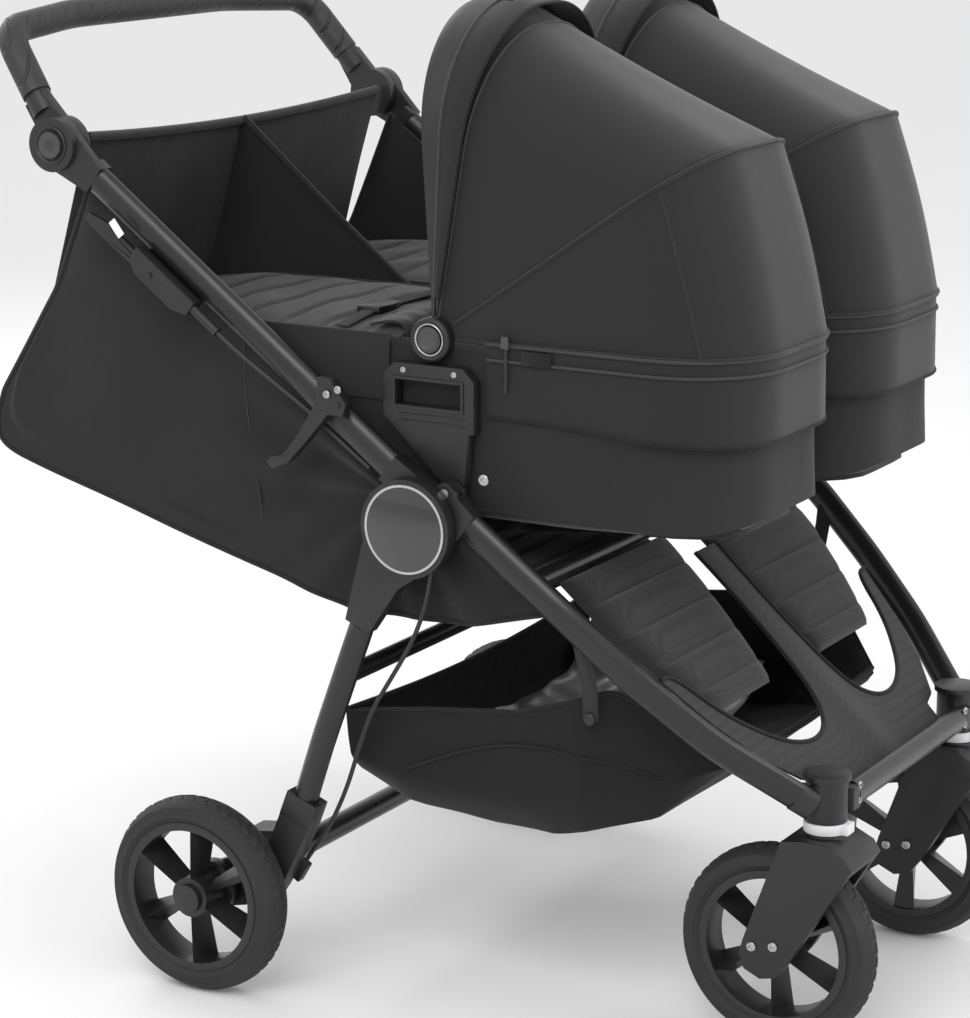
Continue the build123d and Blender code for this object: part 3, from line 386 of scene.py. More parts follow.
# %% The list of finishes
FINISH = {
    "frame_tube": coated_metal("satin_grey_black_tube", 0.012),
    "hub_plastic": moulded("black_moulded_plastic", 0.009),
    "gloss_plastic": moulded("gloss_black_disc", 0.006, rough=0.12, relief=0.02, coat=1.0),
    "bright_trim": bare_metal("satin_trim_ring", 0.5),
    "steel": bare_metal("zinc_plated_steel", 0.45),
    "grip_leather": wrapped_grip("wrapped_black_grip"),
    "seat_cloth": cloth("dark_seat_cloth", 0.0085, 0.0011, wrinkle=0.25),
    "quilted_cloth": cloth("quilted_pad_cloth", 0.0105, 0.0011, coordinates="Object"),
    "apron_cloth": cloth("charcoal_apron_cloth", 0.016, 0.0009, coordinates="Object"),
    "basket_cloth": cloth("black_basket_cloth", 0.006, 0.0009, wrinkle=0.35, sheen=0.12),
    "cot_cloth": cloth("charcoal_carrycot_twill", 0.0125, 0.0010, wrinkle=0.06),
    "wheel_plastic": moulded("black_wheel_plastic", 0.011, rough=0.42),
    "tyre": moulded("matt_tyre_rubber", 0.014, rough=0.72, grain=420.0, relief=0.35),
    "lock_white": moulded("pale_lock_plastic", 0.62, rough=0.4),
    "button_grey": moulded("grey_button_plastic", 0.04, rough=0.4),
    "cable_black": moulded("black_cable_sheath", 0.012, rough=0.5),
}
BINDING = cloth("black_binding_tape", 0.006, 0.0016, sheen=0.1, bump=0.6)
PIPING = cloth("pale_grey_piping", 0.036, 0.0012, coordinates="Object", sheen=0.2)
LINING = cloth("inner_lining_cloth", 0.016, 0.0010, wrinkle=0.3, sheen=0.1)
WEBBING = cloth("black_webbing", 0.010, 0.0022, sheen=0.15, bump=0.9)
print("finishes:", len(bpy.data.materials))

# %% [markdown]
# ## Finishing the CAD parts
# A CAD node's mesh is never touched, but modifiers may work on top of it. Weld joins its loose
# triangles, a very small Bevel breaks the knife-sharp edges so that they catch light as moulded and
# cut edges do, and the smooth shading then rolls over the rounds. The record says which finish each
# node has.

# %% Material and soft edges on every CAD node
EDGE_WIDTH = {"frame_tube": 0.0, "grip_leather": 0.0, "cable_black": 0.0, "tyre": 0.0, "steel": 0.0004}
SOFT_NODES = ("seat_pads", "seat_backs", "side_panels", "seat_walls", "footwell_apron", "basket")
COT_SOFT = ("carrycot_shell_", "carrycot_mattress_", "carrycot_apron_", "hood_fabric_")


def is_soft(name):
    """True for a CAD node that a cloth piece will stand for."""
    return name in SOFT_NODES or name.startswith(COT_SOFT)


def dress_node(name, slot):
    """The finish and the softened edges of one CAD node."""
    node = frame["nodes"][name]
    node.data.materials.clear()
    node.data.materials.append(FINISH[slot])
    node.data.polygons.foreach_set("use_smooth", [True] * len(node.data.polygons))
    weld = node.modifiers.new("weld", "WELD")
    weld.merge_threshold = 0.00001
    width = EDGE_WIDTH.get(slot, 0.0006)
    if width:
        bevel = node.modifiers.new("edge", "BEVEL")
        bevel.width = width
        bevel.segments = 2
        bevel.limit_method = "ANGLE"
        bevel.angle_limit = math.radians(38)
        bevel.harden_normals = False
    split = node.modifiers.new("crisp", "EDGE_SPLIT")
    split.split_angle = math.radians(35)


for row in record["subparts"]:
    if not is_soft(row["node"]):
        dress_node(row["node"], row["material_slot"])
print("dressed nodes:", sum(not is_soft(row["node"]) for row in record["subparts"]))

# %% [markdown]
# ## The modelling helpers
# Most pieces here are cloth, and cloth is a sheet: a grid primitive whose points are laid where the
# sheet runs, then given a thickness by Solidify. A sheet is laid by a short function of two shares, u
# along and v across, so that the shape of each piece can be read in a few lines. Hard trim starts from
# a primitive and is shaped with edit-mode operators.


# %% Starting and finishing a piece
def nothing_selected():
    """Object mode, with nothing selected."""
    if bpy.context.object and bpy.context.object.mode != "OBJECT":
        bpy.ops.object.mode_set(mode="OBJECT")
    bpy.ops.object.select_all(action="DESELECT")


def only(piece):
    """Select one piece and make it active."""
    nothing_selected()
    piece.select_set(True)
    bpy.context.view_layer.objects.active = piece


def apply_all(piece):
    """Apply every modifier of a piece, in order."""
    only(piece)
    for modifier in list(piece.modifiers):
        bpy.ops.object.modifier_apply(modifier=modifier.name)


def outward(piece, merge=0.00002):
    """Merge doubles, and turn the faces outwards."""
    only(piece)
    bpy.ops.object.mode_set(mode="EDIT")
    bpy.ops.mesh.select_all(action="SELECT")
    bpy.ops.mesh.remove_doubles(threshold=merge)
    bpy.ops.mesh.normals_make_consistent(inside=False)
    bpy.ops.object.mode_set(mode="OBJECT")


def smooth(piece, degrees=40):
    """Smooth shading with edges sharper than this left crisp."""
    only(piece)
    bpy.ops.object.shade_smooth_by_angle(angle=math.radians(degrees))


made = []


def finish_piece(piece, material, body, replaces=(), degrees=50):
    """The last steps of every piece: finish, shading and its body."""
    piece.data.materials.clear()
    piece.data.materials.append(material)
    smooth(piece, degrees)
    if body:
        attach(piece, body)
    if replaces:
        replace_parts(piece, *replaces)
    made.append(piece.name)
    return piece


# %% Sheets
SPREAD = {}


def measure_cut(name, columns, rows, place):
    """The size the sheet was cut to: its longest way across, its longest way down and its area."""
    grid = [[Vector(place(i / columns, j / rows)) for i in range(columns + 1)] for j in range(rows + 1)]
    across = max(sum((b - a).length for a, b in zip(row, row[1:])) for row in grid)
    down = max(sum((grid[j + 1][i] - grid[j][i]).length for j in range(rows)) for i in range(columns + 1))
    area = 0.0
    for j in range(rows):
        for i in range(columns):
            a, b, c, d = grid[j][i], grid[j][i + 1], grid[j + 1][i + 1], grid[j + 1][i]
            area += (b - a).cross(c - a).length / 2 + (c - a).cross(d - a).length / 2
    SPREAD[name] = (across, down, min(area, across * down))


def lay_sheet(name, columns, rows, place, close_u=False):
    """A grid primitive whose points are laid by place(u, v); its UV map is in metres along the cloth."""
    measure_cut(name, columns, rows, place)
    nothing_selected()
    bpy.ops.mesh.primitive_grid_add(x_subdivisions=columns, y_subdivisions=rows, size=1)
    piece = bpy.context.object
    piece.name = name
    mesh = piece.data
    shares = [(vertex.co.x + 0.5, vertex.co.y + 0.5) for vertex in mesh.vertices]
    for vertex, (u, v) in zip(mesh.vertices, shares):
        vertex.co = place(u, v)
    middle = [Vector(place(k / 12, 0.5)) for k in range(13)]
    cross = [Vector(place(0.37, k / 12)) for k in range(13)]
    length = sum((b - a).length for a, b in zip(middle, middle[1:]))
    width = sum((b - a).length for a, b in zip(cross, cross[1:]))
    for loop in mesh.loops:
        u, v = shares[loop.vertex_index]
        mesh.uv_layers.active.data[loop.index].uv = (u * length, v * width)
    if close_u:
        only(piece)
        bpy.ops.object.mode_set(mode="EDIT")
        bpy.ops.mesh.select_all(action="SELECT")
        bpy.ops.mesh.remove_doubles(threshold=0.00002)
        bpy.ops.object.mode_set(mode="OBJECT")
    return piece


def thicken(piece, thickness, offset=-1.0, bevel=0.0):
    """Give a sheet its thickness: offset -1 is below its faces, 1 above."""
    wall = piece.modifiers.new("wall", "SOLIDIFY")
    wall.thickness = thickness
    wall.offset = offset
    wall.use_even_offset = False
    if bevel:
        round_edge = piece.modifiers.new("round", "BEVEL")
        round_edge.width = bevel
        round_edge.segments = 2
        round_edge.limit_method = "ANGLE"
        round_edge.angle_limit = math.radians(60)
    apply_all(piece)
    return piece


def mixed(a, b, share):
    """The value or point this share of the way from a to b."""
    return a + (b - a) * share


def eased(share):
    """A share that starts and ends softly."""
    share = min(1.0, max(0.0, share))
    return share * share * (3 - 2 * share)


def ridge(value, spacing, width):
    """1 in the middle of each groove that repeats with this spacing, 0 outside its width."""
    offset = abs((value / spacing) % 1.0 - 0.5) * spacing
    return eased(max(0.0, 1 - (spacing / 2 - offset) / width)) if spacing / 2 - offset < width else 0.0


# %% Welts, straps and piping
def welt(name, points, radius, body, material, closed=False, flat=1.0, side=None):
    """A cord of cloth sewn along a line, or a strap when flat is under 1."""
    nothing_selected()
    line = bpy.data.curves.new(name, "CURVE")
    line.dimensions = "3D"
    line.bevel_depth = radius
    line.bevel_resolution = 2
    line.resolution_u = 3
    line.use_fill_caps = True
    spline = line.splines.new("NURBS")
    spline.points.add(len(points) - 1)
    for spot, point in zip(spline.points, points):
        spot.co = (*point, 1.0)
    spline.order_u = 3
    spline.use_endpoint_u = not closed
    spline.use_cyclic_u = closed
    piece = bpy.data.objects.new(name, line)
    bpy.context.scene.collection.objects.link(piece)
    only(piece)
    bpy.ops.object.convert(target="MESH")
    piece = bpy.context.object
    if flat < 1.0 and side is not None:
        flatten_along(piece, points, Vector(side).normalized(), flat)
    outward(piece)
    return finish_piece(piece, material, body, degrees=60)


def flatten_along(piece, points, normal, flat):
    """Press a round welt to a strap: each point moves towards the line's nearest place along the normal."""
    line = [Vector(p) for p in points]
    for vertex in piece.data.vertices:
        best = None
        for a, b in zip(line, line[1:]):
            run = b - a
            share = min(1.0, max(0.0, (vertex.co - a).dot(run) / max(run.length_squared, 1e-12)))
            near = a + run * share
            gap = (vertex.co - near).length
            if best is None or gap < best[0]:
                best = (gap, near)
        offset = (vertex.co - best[1]).dot(normal)
        vertex.co = vertex.co - normal * offset * (1 - flat)


# %% Small hard pieces
def turned(name, profile, place, axis, material, body, steps=40, degrees=35):
    """A turned piece: a profile of (along, radius) spun about the axis through place."""
    nothing_selected()
    bpy.ops.mesh.primitive_circle_add(vertices=steps, radius=max(profile[0][1], 0.00005), fill_type="NOTHING")
    piece = bpy.context.object
    piece.name = name
    for vertex in piece.data.vertices:
        vertex.co.z = profile[0][0]
    bpy.ops.object.mode_set(mode="EDIT")
    bpy.ops.mesh.select_all(action="SELECT")
    for (before, old_radius), (along, radius) in zip(profile, profile[1:]):
        bpy.ops.mesh.extrude_region_move(TRANSFORM_OT_translate={"value": (0, 0, along - before)})
        factor = max(radius, 0.00005) / max(old_radius, 0.00005)
        bpy.ops.transform.resize(value=(factor, factor, 1), center_override=(0, 0, 0))
    bpy.ops.object.mode_set(mode="OBJECT")
    turn = Vector((0, 0, 1)).rotation_difference(Vector(axis)).to_matrix().to_4x4()
    piece.data.transform(Matrix.Translation(Vector(place)) @ turn)
    only(piece)
    bpy.ops.object.mode_set(mode="EDIT")
    bpy.ops.mesh.select_all(action="SELECT")
    bpy.ops.mesh.remove_doubles(threshold=0.00012)
    bpy.ops.mesh.normals_make_consistent(inside=False)
    bpy.ops.object.mode_set(mode="OBJECT")
    return finish_piece(piece, material, body, degrees=degrees)


def cap_screw(name, place, axis, radius, height, body, slot="steel"):
    """A socket-head screw: a low head with a hexagon socket sunk into it."""
    profile = [(0, radius), (height * 0.7, radius), (height, radius * 0.85), (height, radius * 0.5),
               (height * 0.4, radius * 0.45), (height * 0.4, 0)]
    return turned(name, profile, place, axis, FINISH[slot], body, steps=18, degrees=30)


def plate(name, outline, low, high, axis, material, body, bevel=0.0006, degrees=35):
    """A flat plate with this outline: in X-Z for axis Y, or X-Y for axis Z, between two levels."""
    nothing_selected()
    bpy.ops.mesh.primitive_circle_add(vertices=len(outline), radius=1, fill_type="NGON")
    piece = bpy.context.object
    piece.name = name
    for vertex, (a, b) in zip(piece.data.vertices, outline):
        vertex.co = (a, low, b) if axis == "Y" else (a, b, low)
    bpy.ops.object.mode_set(mode="EDIT")
    bpy.ops.mesh.select_all(action="SELECT")
    move = (0, high - low, 0) if axis == "Y" else (0, 0, high - low)
    bpy.ops.mesh.extrude_region_move(TRANSFORM_OT_translate={"value": move})
    bpy.ops.object.mode_set(mode="OBJECT")
    outward(piece)
    if bevel:
        edge = piece.modifiers.new("edge", "BEVEL")
        edge.width = bevel
        edge.segments = 2
        edge.limit_method = "ANGLE"
        edge.angle_limit = math.radians(30)
        apply_all(piece)
    return finish_piece(piece, material, body, degrees=degrees)


def mirrored(piece, name, body, replaces=()):
    """A copy of a piece, with its own mesh, on the other side of the pushchair."""
    nothing_selected()
    other = piece.copy()
    other.data = piece.data.copy()
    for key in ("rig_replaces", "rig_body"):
        if key in other:
            del other[key]
    other.parent = None
    other.name = name
    bpy.context.scene.collection.objects.link(other)
    other.data.transform(Matrix.Scale(-1, 4, (0, 1, 0)))
    only(other)
    bpy.ops.object.mode_set(mode="EDIT")
    bpy.ops.mesh.select_all(action="SELECT")
    bpy.ops.mesh.flip_normals()
    bpy.ops.object.mode_set(mode="OBJECT")
    other.matrix_world = Matrix.Identity(4)
    if body:
        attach(other, body)
    if replaces:
        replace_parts(other, *replaces)
    made.append(other.name)
    return other


# %% Stuffing a pad by cloth simulation
def stuff(piece, voxel=0.006, pressure=4.0, cap=0.008, frames=20):
    """Remesh a pad finely and let inner pressure swell its cloth; no point moves further than the cap."""
    only(piece)
    remesh = piece.modifiers.new("remesh", "REMESH")
    remesh.mode = "VOXEL"
    remesh.voxel_size = voxel
    apply_all(piece)
    start = [vertex.co.copy() for vertex in piece.data.vertices]
    only(piece)
    fabric = piece.modifiers.new("stuffing", "CLOTH")
    fabric.settings.use_pressure = True
    fabric.settings.uniform_pressure_force = pressure
    fabric.settings.effector_weights.gravity = 0.0
    fabric.settings.quality = 4
    for frame_number in range(1, frames + 1):
        bpy.context.scene.frame_set(frame_number)
    bpy.ops.object.modifier_apply(modifier="stuffing")
    bpy.context.scene.frame_set(1)
    for vertex, rest in zip(piece.data.vertices, start):
        move = vertex.co - rest
        if move.length > cap:
            vertex.co = rest + move.normalized() * cap
    return piece


print("helpers ready")

# %% [markdown]
# ## The carrycots
# Each carrycot is a stiff tub covered with a charcoal twill. Its plan is a long rectangle with very
# round corners, so one function gives that outline, and every band, skirt, binding and pad of the tub
# is laid along it. The right one is modelled, and the left one is its mirror image.

# %% Places taken from the frame
shell_low, shell_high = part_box("carrycot_shell_right")
joint_place = {joint["name"]: Vector(joint.get("pos_m", (0, 0, 0))) for joint in frame["joints"]}
HINGE = joint_place["hood_right_fold"]
COT_FRONT = shell_high.x - 0.020
COT_MIDDLE = Vector(((shell_low.x + COT_FRONT) / 2, (shell_low.y + shell_high.y) / 2,
                     (shell_low.z + shell_high.z) / 2))
COT_HALF_X = (COT_FRONT - shell_low.x) / 2
COT_HALF_Y = (shell_high.y - shell_low.y) / 2
COT_CORNER = 0.098
COT_RIM = shell_high.z
COT_FLOOR = shell_low.z
SKIRT_LOW = 0.650
print("carrycot", round(2 * COT_HALF_X, 3), "x", round(2 * COT_HALF_Y, 3), "m, rim at", round(COT_RIM, 3))


# %% The tub's outline
def tub_point(share, grow=0.0):
    """A point on the tub's rounded plan, share 0..1 round it, starting at the rear middle."""
    half_x = COT_HALF_X + grow
    half_y = COT_HALF_Y + grow
    corner = COT_CORNER + grow
    run_y = 2 * (half_y - corner)
    run_x = 2 * (half_x - corner)
    arc = corner * math.pi / 2
    way = (share % 1.0) * (2 * run_x + 2 * run_y + 4 * arc)
    stops = [("y", -1, run_y / 2), ("arc", 180, arc), ("x", -1, run_x), ("arc", 270, arc), ("y", 1, run_y),
             ("arc", 0, arc), ("x", 1, run_x), ("arc", 90, arc), ("y", -1, run_y / 2)]
    x, y = -half_x, 0.0
    for kind, sense, length in stops:
        part = min(way, length)
        if kind == "y":
            y += sense * part
        elif kind == "x":
            x -= sense * part
        else:
            middle_x = -half_x + corner if sense in (180, 90) else half_x - corner
            middle_y = -half_y + corner if sense in (180, 270) else half_y - corner
            turned_by = math.radians(sense) + part / corner
            x, y = middle_x + corner * math.cos(turned_by), middle_y + corner * math.sin(turned_by)
        way -= part
        if way <= 1e-12:
            break
    return COT_MIDDLE.x + x, COT_MIDDLE.y + y


def share_at_side(x):
    """The share of the outline on the outer (right) side at this x."""
    def miss(k):
        found_x, found_y = tub_point(k / 1000)
        return abs(found_x - x) + (0 if found_y < COT_MIDDLE.y else 9)

    best = min(range(0, 501), key=miss)
    return best / 1000


print("outline at rear, side, front:", [tuple(round(c, 3) for c in tub_point(s)) for s in (0.0, 0.25, 0.5)])

# %% [markdown]
# ### The tub's cover
# The cover runs from the rim down the wall, round the lower edge and under the floor. The wall bulges
# a little between its seams, as stretched twill does over board and foam. Its lower edge is cut away
# at the rear and rises at the front, as on the CAD tub.


# %% Cover of the tub
def floor_height(x):
    """Height of the tub's floor at this x: raised at the rear, where it clears the seat."""
    rear_rise = max(0.0, (shell_low.x + 0.095 - x)) * 0.79
    nose_rise = max(0.0, x - (COT_FRONT - 0.060)) ** 2 * 4.0
    return COT_FLOOR + rear_rise + nose_rise


def cover_place(u, v):
    """u round the tub, v from the rim (0) down the wall and in under the floor (1)."""
    x, y = tub_point(u)
    low = floor_height(x) + 0.001
    taper = 0.016 * eased((x - 0.20) / 0.16)
    wall = 0.62
    if v < wall:
        share = v / wall
        bulge = 0.0022 * math.sin(math.pi * share) - 0.0018 - taper * eased((share - 0.35) / 0.25)
        x, y = tub_point(u, bulge)
        return (x, y, mixed(COT_RIM, low + 0.022, share))
    share = (v - wall) / (1 - wall)
    turn = min(1.0, share / 0.35) * math.pi / 2
    inward = 0.022 * (1 - math.cos(turn)) + max(0.0, share - 0.35) * 0.16
    x, y = tub_point(u, -0.0018 - inward - taper)
    low = mixed(low, floor_height(x) + 0.001, share)
    return (x, y, low + 0.022 * (1 - math.sin(turn)) + 0.0005)


cover = lay_sheet("cot_cover_right", 176, 34, cover_place, close_u=True)
outward(cover)
thicken(cover, 0.0022)
finish_piece(cover, FINISH["cot_cloth"], "carrycot_right", replaces=["carrycot_shell_right"])


def lining_place(u, v):
    """u round the inside, v from the rim down to the mattress and in."""
    depth = min(1.0, v / 0.7)
    x, y = tub_point(u, -0.0062 - 0.003 * math.sin(math.pi * depth))
    inner_floor = max(floor_height(x) + 0.008, COT_FLOOR + 0.008)
    if v <= 0.7:
        return (x, y, mixed(COT_RIM, inner_floor, depth))
    x, y = tub_point(u, -0.0062 - (v - 0.7) / 0.3 * 0.115)
    inner_floor = max(floor_height(x) + 0.008, COT_FLOOR + 0.008)
    return (x, y, inner_floor)


lining = lay_sheet("cot_lining_right", 150, 16, lining_place, close_u=True)
thicken(lining, 0.0012)
finish_piece(lining, LINING, "carrycot_right")
plate("cot_base_right", [tub_point(k / 64, -0.03) for k in range(64)], COT_FLOOR + 0.0018,
      COT_FLOOR + 0.0075, "Z",
                  FINISH["cot_cloth"], "carrycot_right")
print("tub cover:", len(cover.data.polygons), "faces")

# %% [markdown]
# ### The skirt, its welts and the tub's seams
# A band runs round the tub under the hood: two thin welts at its top, and a lower edge that dips
# towards the front. Below it an upright seam crosses the wall near each front corner.


# %% The skirt band
def skirt_low_at(x):
    """Height of the skirt's lower edge: lowest ahead of the bracket, and a shallow curve to the front."""
    share = (x - 0.13) / (shell_high.x - 0.13)
    return SKIRT_LOW + 0.006 * math.cos(share * math.pi) + 0.002


SKIRT_REAR = 0.125
skirt_start = share_at_side(SKIRT_REAR)
skirt_end = 1.0 - skirt_start


def skirt_place(u, v):
    """u from the bracket forwards round the foot end to the inner side, v from the welts down."""
    share = mixed(skirt_start, skirt_end, u)
    x, y = tub_point(share, 0.0016 + 0.0012 * v)
    return (x, y, mixed(COT_RIM + 0.006, skirt_low_at(x), v))


skirt = lay_sheet("cot_skirt_right", 130, 8, skirt_place)
thicken(skirt, 0.0016, offset=1.0)
outward(skirt)
finish_piece(skirt, FINISH["cot_cloth"], "carrycot_right")


def band_line(height_of, grow, count=44, begin=None, end=None):
    """Points along the tub's outline at a height given by a function of x."""
    begin = skirt_start if begin is None else begin
    end = skirt_end if end is None else end
    found = []
    for k in range(count + 1):
        x, y = tub_point(mixed(begin, end, k / count), grow)
        found.append((x, y, height_of(x)))
    return found


welt("cot_welt_upper_right", band_line(lambda x: COT_RIM + 0.0075, 0.0032), 0.0017, "carrycot_right",
     PIPING)
welt("cot_welt_lower_right", band_line(lambda x: COT_RIM - 0.0085, 0.0034), 0.0015, "carrycot_right",
     PIPING)
welt("cot_skirt_hem_right", band_line(skirt_low_at, 0.0030, 90), 0.0016, "carrycot_right", BINDING)
welt("cot_rim_welt_right", band_line(lambda x: COT_RIM + 0.001, -0.003, 100, 0.0, 1.0), 0.004,
     "carrycot_right",
     FINISH["cot_cloth"], closed=True)
for label, x_seam in (("front", 0.392), ("rear", -0.20)):
    seam_share = share_at_side(x_seam)
    line = [cover_place(seam_share, v) for v in (0.02, 0.15, 0.3, 0.45, 0.6, 0.68)]
    welt("cot_seam_" + label + "_right", line, 0.0011, "carrycot_right", FINISH["cot_cloth"])
print("skirt from share", round(skirt_start, 3))

# %% [markdown]
# ### Mattress
# A thin foam pad lies on the floor of the tub. It is a padded piece: its cover is sewn round the
# foam, so it is crowned, and it is swollen by cloth simulation from a slightly smaller block.


# %% Mattress
def pad_from_outline(name, outline, low, high, inset=0.018):
    """A crowned block with this X-Y outline, inset top and bottom and rounded at its edges."""
    nothing_selected()
    bpy.ops.mesh.primitive_circle_add(vertices=len(outline), radius=1, fill_type="NGON")
    piece = bpy.context.object
    piece.name = name
    for vertex, (x, y) in zip(piece.data.vertices, outline):
        vertex.co = (x, y, low)
    bpy.ops.object.mode_set(mode="EDIT")
    bpy.ops.mesh.select_all(action="SELECT")
    bpy.ops.mesh.extrude_region_move(TRANSFORM_OT_translate={"value": (0, 0, high - low)})
    bpy.ops.mesh.inset(thickness=inset, depth=0.0)
    bpy.ops.transform.translate(value=(0, 0, (high - low) * 0.22))
    bpy.ops.object.mode_set(mode="OBJECT")
    outward(piece)
    rounder = piece.modifiers.new("round", "BEVEL")
    rounder.width = (high - low) * 0.3
    rounder.segments = 3
    rounder.limit_method = "ANGLE"
    rounder.angle_limit = math.radians(50)
    apply_all(piece)
    return piece


mattress_low, mattress_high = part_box("carrycot_mattress_right")
mattress_outline = [tub_point(k / 72, -0.016) for k in range(72)]
mattress_outline = [(max(x, mattress_low.x + 0.004), y) for x, y in mattress_outline]
mattress = pad_from_outline("cot_mattress_right", mattress_outline, mattress_low.z + 0.002,
                            mattress_high.z - 0.010)
stuff(mattress, voxel=0.007, cap=0.004)
finish_piece(mattress, FINISH["quilted_cloth"], "carrycot_right",
             replaces=["carrycot_mattress_right"], degrees=70)
print("mattress", len(mattress.data.polygons), "faces")

# %% [markdown]
# ### Hoods
# A hood is taut cloth over three bows that fan out from one hinge: the rear bow with the wide band, a
# slanting middle bow that shows as a welt, and the low front bow. Between two bows the cloth runs
# straight, with a slight hollow. So the hood is laid bow by bow: `bow_point` walks along one bow, and
# the sheet runs from one bow to the next. The cloth crosses the hood's hinge, and rides on no body.

# %% The bows
HOOD_HALF = COT_HALF_Y
BOWS = ((math.radians(87.5), 0.3295, 0.128), (math.radians(34.5), 0.352, 0.100),
        (math.radians(-0.1), 0.345, 0.094))


def bow_point(angle, reach, corner, share, shrink=0.0):
    """A point on one bow: share 0 at the outer hinge, 1 at the inner one."""
    half = HOOD_HALF - shrink
    tall = reach
    straight = tall - corner
    flat = 2 * (half - corner)
    arc = corner * math.pi / 2
    way = share * (2 * straight + flat + 2 * arc)
    if way < straight:
        across, up = -half, way
    elif way < straight + arc:
        turn = (way - straight) / corner
        across, up = -half + corner * (1 - math.cos(turn)), straight + corner * math.sin(turn)
    elif way < straight + arc + flat:
        across, up = -half + corner + (way - straight - arc), tall
    elif way < straight + 2 * arc + flat:
        turn = (way - straight - arc - flat) / corner
        across, up = half - corner + corner * math.sin(turn), straight + corner * math.cos(turn)
    else:
        across, up = half, 2 * straight + flat + 2 * arc - way
    return Vector((HINGE.x + up * math.cos(angle), COT_MIDDLE.y + across, HINGE.z + up * math.sin(angle)))


def hood_place(u, v):
    """u over the hood, v from the rear bow (0) over the middle one (0.55) to the front one (1)."""
    if v < 0.55:
        first, second, share = BOWS[0], BOWS[1], v / 0.55
    else:
        first, second, share = BOWS[1], BOWS[2], (v - 0.55) / 0.45
    a = bow_point(*first, u, 0.0015)
    b = bow_point(*second, u, 0.0015)
    point = a.lerp(b, share)
    centre = Vector((HINGE.x + 0.14, COT_MIDDLE.y, HINGE.z + 0.03))
    away = (point - centre).normalized()
    belly = math.sin(math.pi * share)
    fullness = 0.0045 if v >= 0.55 else -0.0035
    top = math.sin(math.pi * u) ** 2
    point = point + away * belly * (fullness * (0.4 + 0.6 * top))
    return point


hood_cloth = lay_sheet("hood_cloth_right", 120, 56, hood_place)
outward(hood_cloth)
thicken(hood_cloth, 0.0018)
finish_piece(hood_cloth, FINISH["cot_cloth"], None, replaces=["hood_fabric_right"], degrees=60)
print("hood cloth:", len(hood_cloth.data.polygons), "faces")


# %% Welts over the hood
def hood_line(v, begin=0.0, end=1.0, proud=0.001, count=48):
    """A line across the hood at one share v, lifted a little off the cloth."""
    found = []
    centre = Vector((HINGE.x + 0.14, COT_MIDDLE.y, HINGE.z + 0.03))
    for k in range(count + 1):
        point = hood_place(mixed(begin, end, k / count), v)
        found.append(point + (point - centre).normalized() * proud)
    return found


welt("hood_rib_welt_right", hood_line(0.55, 0.03, 0.97), 0.0019, None, FINISH["cot_cloth"])
welt("hood_band_welt_right", hood_line(0.075), 0.0013, None, PIPING)
welt("hood_front_welt_right", hood_line(0.995, 0.0, 1.0, 0.0012), 0.0018, None, FINISH["cot_cloth"])
upright = [hood_place(0.335, mixed(0.56, 0.995, k / 12)) for k in range(13)]
welt("hood_corner_seam_right", upright, 0.0011, None, FINISH["cot_cloth"])
upright = [hood_place(0.665, mixed(0.56, 0.995, k / 12)) for k in range(13)]
welt("hood_corner_seam_inner_right", upright, 0.0011, None, FINISH["cot_cloth"])

# %% [markdown]
# The rear bow is covered by a wide padded band of the same cloth. It lies just outside the CAD bow,
# rides with it, and is rolled in at both edges. On top of it sits a webbing handle, bowed up enough
# for a hand.


# %% The band on the rear bow, and its handle
def band_place(u, v):
    """u over the bow from hinge to hinge, v round the band's section: outside, rear edge and inside."""
    angle_rear = math.radians(87.4)
    angle_front = math.radians(80.4)
    if v <= 0.6:
        share = v / 0.6
        angle = mixed(angle_front, angle_rear, share)
        lift = 0.0062 + 0.0016 * math.sin(math.pi * share)
    else:
        share = (v - 0.6) / 0.4
        angle = angle_rear + 0.006 * math.sin(math.pi * min(1.0, share * 2))
        lift = 0.0062 - 0.0085 * share
    wide = 0.05 + 0.9 * u
    return bow_point(angle, 0.33 + lift, 0.128 + lift, wide, -lift)


band = lay_sheet("hood_band_right", 110, 16, band_place)
thicken(band, 0.0012)
outward(band)
finish_piece(band, FINISH["cot_cloth"], "hood_right", degrees=60)
for label, angle, lift in (("rear", 87.4, 0.0066), ("front", 80.6, 0.0058)):
    edge_line = [bow_point(math.radians(angle), 0.33 + lift, 0.128 + lift, mixed(0.05, 0.95, k / 60),
                           -lift) for k in range(61)]
    welt("hood_band_edge_" + label + "_right", edge_line, 0.0017, "hood_right",
         PIPING if label == "rear" else BINDING)


def handle_place(u, v):
    """The webbing handle on top of the band: u across the pushchair, v along it."""
    rise = 0.0150 * math.sin(math.pi * u) ** 0.5 if 0 < u < 1 else 0.0
    return (HINGE.x + mixed(0.022, 0.046, v), COT_MIDDLE.y + mixed(-0.062, 0.062, u), HINGE.z + 0.3375 + rise)


handle_strap = lay_sheet("hood_handle_right", 30, 4, handle_place)
thicken(handle_strap, 0.0022, offset=1.0, bevel=0.0006)
outward(handle_strap)
finish_piece(handle_strap, WEBBING, "hood_right")
print("hood band and handle:", band.name, handle_strap.name)

# %% [markdown]
# ### Hinge hub, zip and tag
# The hub is a grey button in a dark dished disc with a bright ring. Beside it the zip of the hood
# ends in a long light pull, and a small blank tag is sewn into the upper welt.

